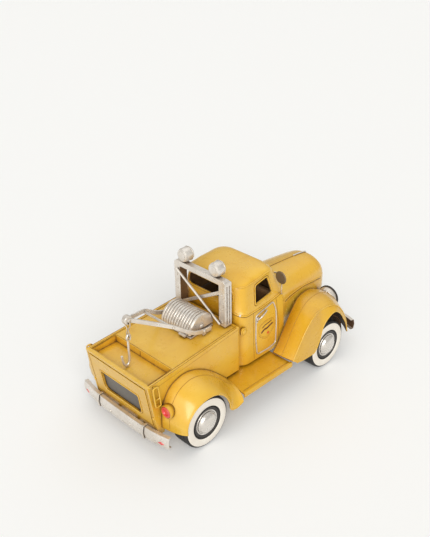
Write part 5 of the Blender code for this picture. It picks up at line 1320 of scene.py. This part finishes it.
    # running board ribs and bolts
    rb = tree_of(V["running_board_" + sn])
    got = on_top(rb, [(u, s * 2.50) for u in [2.10 + 2.46 * k / 30 for k in range(31)]], 0.0, 2.0)
    if len(got) > 3:
        bead("board_line_" + sn, got, 0.008, FAINT)
    for j in range(3):
        got = on_top(rb, [(2.5 + 0.85 * j, s * 2.42)], 0.0, 2.0)
        if got:
            boss("board_rivet_%d_%s" % (j, sn), got[0], Vector((0, 0, 1)), 0.030, 0.5, YELLOW)
    # bed rails: two brown lines and a corner knob; side stake beads
    for j, w in enumerate((BED_W - 0.022, BED_W - RAIL + 0.022)):
        bead("rail_line_%d_%s" % (j, sn), [P(u, s * w, rail_z(u) + 0.001) for u in [-1.56 + 4.30 * k / 40 for k in range(41)]], 0.008, WASH)
    bead("bed_corner_" + sn, [P(BED_FRONT - 0.02, s * (BED_W + 0.002), 1.30 + 1.78 * k / 20) for k in range(21)], 0.020, YELLOW)
    boss("bed_knob_" + sn, P(BED_FRONT - 0.06, s * (BED_W - 0.05), BED_RAIL_FRONT_Z - 0.02), Vector((0, 0, 1)), 0.05, 0.8, YELLOW)
    line = [(-1.36, 2.60), (-0.6, 2.68), (0.4, 2.78), (1.6, 2.91), (2.70, 3.02)]
    bead("bed_side_line_" + sn, on_side(BED, dense(line, 0.08), s, -0.001), 0.008, FAINT)
    # fuel cap and a silver knob behind the door, right side only; the knob on the belt line stands for a glint, a
    # painted highlight
    if s > 0:
        p = P(3.02, s * 1.66, 2.79)
        boss("fuel_neck", p - Vector((-s, 0, 0)) * 0.02 * TYRE_R, Vector((-s, 0, 0)), 0.155, 0.22, YELLOW)
        # small silver knob on the belt line: painted highlight
        q = on_side(CAB, [(2.99, 3.43)], s)[0]
        boss("cab_glint_knob", q, Vector((-s, 0, 0)), 0.055, 0.8, SILVER)
        boss("fuel_cap", p + Vector((-s, 0, 0)) * 0.012 * TYRE_R, Vector((-s, 0, 0)), 0.105, 0.35, YELLOW)
    # rivets along the fender roots
    for i, (u, z) in enumerate(((-0.80, 2.44), (0.30, 2.64), (1.30, 2.14))):
        q = on_side(BED, [(u, z)], s)
        if q:
            boss("rear_rivet_%d_%s" % (i, sn), q[0], Vector((-s, 0, 0)), 0.032, 0.6, YELLOW)

# cab: rear window and windscreen frames
rear = rounded([(-1.16, 3.88), (1.16, 3.88), (1.08, 4.36), (-1.08, 4.36)], 0.20)
bead("rear_window_bead", on_end(CAB, dense(grow(rear, 0.05), 0.06, True), 1.0, 1, 0.004), 0.028, YELLOW, closed=True)
for s in (-1, 1):
    pane = rounded([(s * 0.06, 3.78), (s * 1.22, 3.78), (s * 1.12, 4.40), (s * 0.06, 4.48)], 0.10)
    pts = on_end(CAB, dense(grow(pane, 0.045), 0.06, True), 7.5, -1, 0.004)
    if len(pts) > 6:
        bead("windscreen_bead_%s" % ("right" if s > 0 else "left"), pts, 0.026, YELLOW, closed=True)
# wipers
for s in (-1, 1):
    pts = on_end(CAB, dense([(s * 0.55, 3.66), (s * 0.62, 3.80), (s * 0.95, 3.95)], 0.06), 7.5, -1, 0.045)
    if len(pts) > 3:
        bead("wiper_%s" % ("right" if s > 0 else "left"), pts, 0.014, BLACK)
# hood: middle crease strip
crease = on_top(HOOD, [(5.48 + 3.10 * k / 60, 0.0) for k in range(61)], 0.001, 4.6)
bead("hood_crease", crease, 0.016, WASH)
crease = on_top(HOOD, [(7.75 + 0.75 * k / 20, 0.0) for k in range(21)], 0.03, 4.6)
bead("hood_mascot", crease, 0.034, SILVER)

# dashboard, dials, seat pleats and floor lever; the dashboard takes the brown painted shade of the cab's inside
dash = [(4.84, 2.74), (5.30, 2.66), (5.30, 3.40), (5.02, 3.46), (4.90, 3.40)]
keep(prism("dashboard", rounded(dash, 0.06), "w", -1.30, 1.30, CAB_INSIDE_SHADE))
for i, w in enumerate((-0.86, -0.38, 0.30)):
    boss("dial_%d" % i, P(4.875, w, 3.12), Vector((0, 1, 0.1)), 0.13 if i != 1 else 0.09, 0.2, SILVER)
bead("gear_lever", [P(4.62 - 0.02 * k, 0.05, 1.30 + 0.16 * k) for k in range(9)], 0.028, SILVER)
boss("gear_knob", P(4.44, 0.05, 2.58), Vector((0, 0.1, 1)), 0.07, 1.2, BLACK)
for i in range(9):
    w = -1.04 + 0.26 * i
    bead("seat_pleat_%d" % i, [P(3.44, w, 2.32), P(3.70, w, 2.29), P(3.95, w, 2.265), P(4.04, w, 2.19), P(4.065, w, 2.02), P(4.065, w, 1.5)], 0.02, BROWN)
    bead("back_pleat_%d" % i, [P(3.445, w, 2.36), P(3.36, w, 2.80), P(3.28, w, 3.28), P(3.22, w, 3.41)], 0.02, BROWN)

# tailgate: bead round the recess, side lines, hinge knuckles
th = 0.07
def leaf3(w, z, off=0.0):
    return P(tail_u(z) - 0.025 + off, w, z)
win = rounded([(-0.97, 1.36), (-0.86, 1.24), (0.86, 1.24), (0.97, 1.36), (0.97, 2.07), (-0.97, 2.07)], 0.08)
bead("tailgate_bead", [leaf3(w, z, 0.004) for w, z in dense(grow(win, 0.06), 0.05, True)], 0.030, YELLOW, "tailgate", closed=True)
bead("tailgate_line_in", [leaf3(w, z, 0.0) for w, z in dense(grow(win, 0.015), 0.05, True)], 0.012, WASH, "tailgate", closed=True)
bead("tailgate_line_out", [leaf3(w, z, 0.0) for w, z in dense(grow(win, 0.105), 0.05, True)], 0.009, FAINT, "tailgate", closed=True)
bead("tail_sill_line", [P(tail_u(0.925) + 0.001, w, 0.925) for w in [-1.46 + 2.92 * k / 40 for k in range(41)]], 0.010, FAINT)
for i, w in enumerate((-1.0, 0.0, 1.0)):
    c = P(tail_u(0.98) + 0.01, 0, 0.98)
    bead("gate_knuckle_%d" % i, [Vector((-(w - 0.10 + 0.02 * k) * TYRE_R, c.y, c.z)) for k in range(11)], 0.036, YELLOW, "tailgate")
for sn, s in (("right", 1), ("left", -1)):
    bead("tail_seam_" + sn, [P(tail_u(z) - 0.002, s * 1.545, z) for z in [0.66 + 2.0 * k / 30 for k in range(31)]], 0.008, FAINT)
    boss("tail_hinge_bump_" + sn, P(tail_u(1.35) - 0.005, s * 1.58, 1.35), Vector((0, 1, 0)), 0.05, 0.7, YELLOW)

# mast: rivets; lamp faces, glasses and bands
for sn, s in (("right", 1), ("left", -1)):
    for i, z in enumerate((3.30, 3.86, 4.42)):
        boss("mast_rivet_%d_%s" % (i, sn), P(MAST_U0, s * 1.175, z), Vector((0, 1, 0)), 0.036, 0.5, SILVER)
    boss("lamp_face_" + sn, P(2.54 - 0.25, s * 0.82, 5.33), Vector((0, 1, 0)), 0.17, 0.10, SILVER)
    boss("lamp_glass_" + sn, P(2.54 + 0.19, s * 0.82, 5.33), Vector((0, -1, 0)), 0.18, 0.25, GLASS)
    bead("lamp_band_" + sn, [P(2.54 + 0.10, s * 0.82 + 0.272 * math.cos(2 * math.pi * k / 40), 5.33 + 0.272 * math.sin(2 * math.pi * k / 40))
                             for k in range(40)], 0.014, SILVER, closed=True)
# drum axle nubs, boom pivots and bolts
for sn, s in (("right", 1), ("left", -1)):
    boss("drum_nub_" + sn, P(1.715, s * 0.78, 3.26), Vector((-s, 0, 0)), 0.09, 0.5, SILVER)
    boss("boom_pivot_" + sn, P(1.62, s * 1.02, 3.19), Vector((-s, 0, 0)), 0.062, 0.6, SILVER)
    boss("boom_bolt_" + sn, P(0.36, s * 0.80, 3.82), Vector((-s, 0, 0)), 0.050, 0.6, SILVER)
    boss("tip_bolt_" + sn, P(-1.00, s * 0.10, 4.42), Vector((-s, 0, 0)), 0.075, 0.35, SILVER)

# bumpers: bolts and plain red lozenges
RB, FB = tree_of(V["rear_bumper"]), tree_of(V["front_bumper"])
for i, w in enumerate((-2.0, 2.0)):
    c = on_end(RB, [(w, 0.60)], -3.0, 1)
    if c:
        loz = []
        for k in range(24):
            a = 2 * math.pi * k / 24
            rr = 1.0 / (abs(math.cos(a)) / 0.15 + abs(math.sin(a)) / 0.085)
            loz.append((w + rr * math.cos(a), 0.60 + rr * math.sin(a)))
        ring = on_end(RB, loz, -3.0, 1, -0.004)
        top = [p + Vector((0, 0.012, 0)) * TYRE_R for p in on_end(RB, [(w + (a - w) * 0.85, 0.60 + (b - 0.60) * 0.85) for a, b in loz], -3.0, 1, 0.0)]
        if len(ring) == 24 and len(top) == 24:
            keep(loft("bumper_mark_%d" % i, [ring, top], RED))
for j, (t, u, d) in enumerate(((RB, -3.0, 1), (FB, 10.5, -1))):
    for i, w in enumerate((-0.52, 0.52)):
        c = on_end(t, [(w, 0.60 if j == 0 else 0.68)], u, d)
        if c:
            boss("bumper_bolt_%d%d" % (j, i), c[0], Vector((0, d, 0)), 0.06, 0.5, SILVER)
# grille surround
gr = rounded([(-0.64, 1.12), (0.64, 1.12), (0.66, 2.60), (0.46, 2.88), (-0.46, 2.88), (-0.66, 2.60)], 0.12)
bead("grille_surround", [P(NOSE_U + 0.045, w, z) for w, z in dense(gr, 0.06, True)], 0.034, SILVER, closed=True)
# inner aprons beside the front wheels, dark brown as painted shade in the wheel wells
for sn, s in (("right", 1), ("left", -1)):
    side = rounded([(5.00, 1.16), (5.30, 2.10), (5.90, 2.52), (7.40, 2.52), (8.05, 2.06), (8.36, 1.10), (7.6, 0.86), (5.6, 0.86)], 0.14)
    keep(prism("wheel_apron_" + sn, side, "w", s * 0.86, s * 0.89, DARK_AND_SHADE))
    for j in range(3):
        u = 5.9 + 0.8 * j
        bead("apron_rib_%d_%s" % (j, sn), [P(u, s * 0.895, 1.0 + 1.3 * k / 10) for k in range(11)], 0.03, DARK_AND_SHADE)
# winch tab
keep(prism("winch_tab", rounded([(1.00, 3.02), (1.16, 3.035), (1.16, 3.10), (1.00, 3.085)], 0.02), "w", 0.30, 0.62, SILVER))
# exhaust, drive shaft and differential below the chassis
bead("exhaust_pipe", [P(*p) for p in smooth_path([(6.2, 0.95, 0.90), (4.6, 0.98, 0.84), (2.2, 0.98, 0.84), (1.2, 0.80, 0.86), (-0.2, 0.80, 0.98), (-1.0, 0.86, 0.72), (-1.36, 0.88, 0.66)], 8)], 0.055, STEEL)
bead("drive_shaft", [P(6.0 - 5.8 * k / 20, 0.0, 0.96 - 0.06 * k / 20) for k in range(21)], 0.06, DARK_AND_SHADE)
boss("differential", P(0.11, 0.0, 0.80), Vector((0, 0, -1)), 0.22, 0.35, DARK_AND_SHADE)

# seams, corners and folded lip of the sunken well
well_w = BED_W - RAIL - GAP
well_u = BED_TAIL_TOP[0] + RAIL + GAP
well_zf = rail_z(WELL_FRONT) - 0.02 - WELL_DEPTH
well_zr = rail_z(well_u) - WELL_DEPTH + 0.02
inn = well_w - 0.045
bead("well_seam_front", [P(WELL_FRONT - 0.004, -inn + 2 * inn * k / 30, well_zf + 0.004) for k in range(31)], 0.015, WASH)
bead("well_seam_rear", [P(well_u + 0.049, -inn + 2 * inn * k / 30, well_zr + 0.004) for k in range(31)], 0.013, WASH)
bead("well_lip_line", [P(WELL_FRONT + 0.035, -inn + 2 * inn * k / 30, rail_z(WELL_FRONT + 0.035) - 0.018) for k in range(31)], 0.009, FAINT)
bead("well_lip", [P(WELL_FRONT + 0.002, -inn + 2 * inn * k / 30, rail_z(WELL_FRONT) - 0.026) for k in range(31)], 0.018, YELLOW)
# dark line up the well's front wall: painted shadow of the hoist wire and boom
bead("well_wire_shadow", [P(WELL_FRONT - 0.003, -0.12 + 0.0 * k, well_zf + WELL_DEPTH * 0.9 * k / 8) for k in range(9)], 0.010, WASH)
for sn, s in (("right", 1), ("left", -1)):
    bead("well_seam_" + sn, [P(well_u + 0.05 + (WELL_FRONT - well_u - 0.05) * k / 16, s * (inn - 0.002), well_zr + (well_zf - well_zr) * k / 16 + 0.004) for k in range(17)], 0.014, WASH)
    bead("well_corner_" + sn, [P(WELL_FRONT - 0.003, s * (inn - 0.003), well_zf + WELL_DEPTH * 0.96 * k / 8) for k in range(9)], 0.016, WASH)
    bead("well_top_" + sn, [P(well_u + (WELL_FRONT - well_u) * k / 16, s * (inn + 0.012), rail_z(well_u + (WELL_FRONT - well_u) * k / 16) - 0.030) for k in range(17)], 0.009, FAINT)
    # liner ahead of the front wheel, dark brown as painted shade in the wheel well
    fu, fz = WHEELBASE - BODY_DU, HUB_Z - BODY_DZ
    arc_out = [(fu + 1.20 * math.cos(math.radians(a)), fz + 1.20 * math.sin(math.radians(a))) for a in range(-6, 63, 4)]
    arc_in = [(fu + 1.17 * math.cos(math.radians(a)), fz + 1.17 * math.sin(math.radians(a))) for a in range(62, -7, -4)]
    keep(prism("front_liner_" + sn, arc_out + arc_in, "w", min(s * 1.20, s * 2.47), max(s * 1.20, s * 2.47), DARK_AND_SHADE))

# ----------------------------------------------------------------------------- bevels, bodies
BEVEL = {"bed_body": 0.30, "tailgate": 0.30, "tailgate_panel": 0.2, "mast_frame": 0.35, "mast_brace_strip": 0.25, "winch_base": 0.25,
         "boom_frame": 0.25, "running_board_right": 0.25, "running_board_left": 0.25, "rear_bumper": 0.3, "front_bumper": 0.3,
         "bumper_guard_right": 0.2, "bumper_guard_left": 0.2, "bench_seat": 0.6}
for n, ob in V.items():
    if n in BEVEL:
        for e in ob.data.edges:
            e.use_edge_sharp = False
        m = ob.modifiers.new("soft_edges", "BEVEL")
        m.width = BEVEL[n] * 0.001
        m.segments = 2
        m.limit_method = "ANGLE"
        m.angle_limit = math.radians(30)
        m.use_clamp_overlap = False
        m.harden_normals = True
    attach(ob, BODY_OF[n])
    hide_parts(n)

# ----------------------------------------------------------------------------- studio
def plain(name, col, rough, glow=0.0):
    m = bpy.data.materials.new(name)
    m.use_nodes = True
    b = m.node_tree.nodes["Principled BSDF"]
    b.inputs["Base Color"].default_value = col
    b.inputs["Roughness"].default_value = rough
    b.inputs["Specular IOR Level"].default_value = 0.2
    if glow > 0:
        b.inputs["Emission Color"].default_value = col
        b.inputs["Emission Strength"].default_value = glow
    return m


def floor_plane():
    me = bpy.data.meshes.new("floor")
    k = 6.0
    me.from_pydata([(-k, -k, 0), (k, -k, 0), (k, k, 0), (-k, k, 0)], [], [(0, 1, 2, 3)])
    ob = bpy.data.objects.new("studio_floor", me)
    bpy.context.scene.collection.objects.link(ob)
    me.materials.append(plain("studio_floor", srgb(237, 238, 238), 0.9, FLOOR_GLOW))
    ob.location.z = -0.0002
    return ob


FLOOR_GLOW, WORLD = 0.12, 0.44
studio_floor = floor_plane()
studio_floor.visible_diffuse = False
world = bpy.data.worlds.new("studio")
world.use_nodes = True
world.node_tree.nodes["Background"].inputs["Color"].default_value = (1.0, 0.99, 0.965, 1.0)
world.node_tree.nodes["Background"].inputs["Strength"].default_value = WORLD
bpy.context.scene.world = world


def sun(name, towards, strength, angle, colour=(1.0, 0.98, 0.945)):
    """Large soft light, given by the direction it comes from."""
    d = bpy.data.lights.new(name, "SUN")
    d.energy = strength
    d.angle = math.radians(angle)
    d.color = colour
    ob = bpy.data.objects.new(name, d)
    bpy.context.scene.collection.objects.link(ob)
    ob.rotation_euler = Vector(towards).to_track_quat("Z", "Y").to_euler()
    return ob


sun("key", (-0.85, 0.60, 0.60), 1.92, 40)
sun("top", (0.25, -0.45, 1.0), 0.50, 70)
sun("side", (-0.3, 1.0, 0.4), 0.90, 60)

# camera
CAM = (-13.859872670201167, 17.61022892020675, 17.894256014449045)
YAW, PITCH, ROLL, FOCAL = -0.8013172118946327, 0.49173605414856236, -0.01759478044711684, 749.1102711203914
cy, sy, cp, sp = math.cos(YAW), math.sin(YAW), math.cos(PITCH), math.sin(PITCH)
fwd = (cy * cp, sy * cp, -sp)
right = (-sy, cy, 0.0)
up = (cy * sp, sy * sp, cp)
cr, sr = math.cos(ROLL), math.sin(ROLL)
r2 = [cr * a + sr * b for a, b in zip(right, up)]
u2 = [-sr * a + cr * b for a, b in zip(right, up)]


def world_dir(v):
    return Vector((-v[1], -v[0], v[2]))


cm = Matrix((world_dir(r2), world_dir(u2), -world_dir(fwd))).transposed().to_4x4()
cm.translation = W(CAM[0] + BODY_DU, CAM[1], CAM[2] + BODY_DZ)
cam = bpy.data.cameras.new("camera")
cam.sensor_fit = "VERTICAL"
cam.sensor_height = 36.0
cam.lens = FOCAL * 36.0 / 537.0
cam.clip_start = 0.01
cam.clip_end = 100.0
cam_ob = bpy.data.objects.new("camera", cam)
cam_ob.matrix_world = cm
bpy.context.scene.collection.objects.link(cam_ob)
bpy.context.scene.camera = cam_ob
bpy.context.scene.view_settings.view_transform = "Standard"
bpy.context.scene.view_settings.look = "None"

bpy.context.view_layer.update()
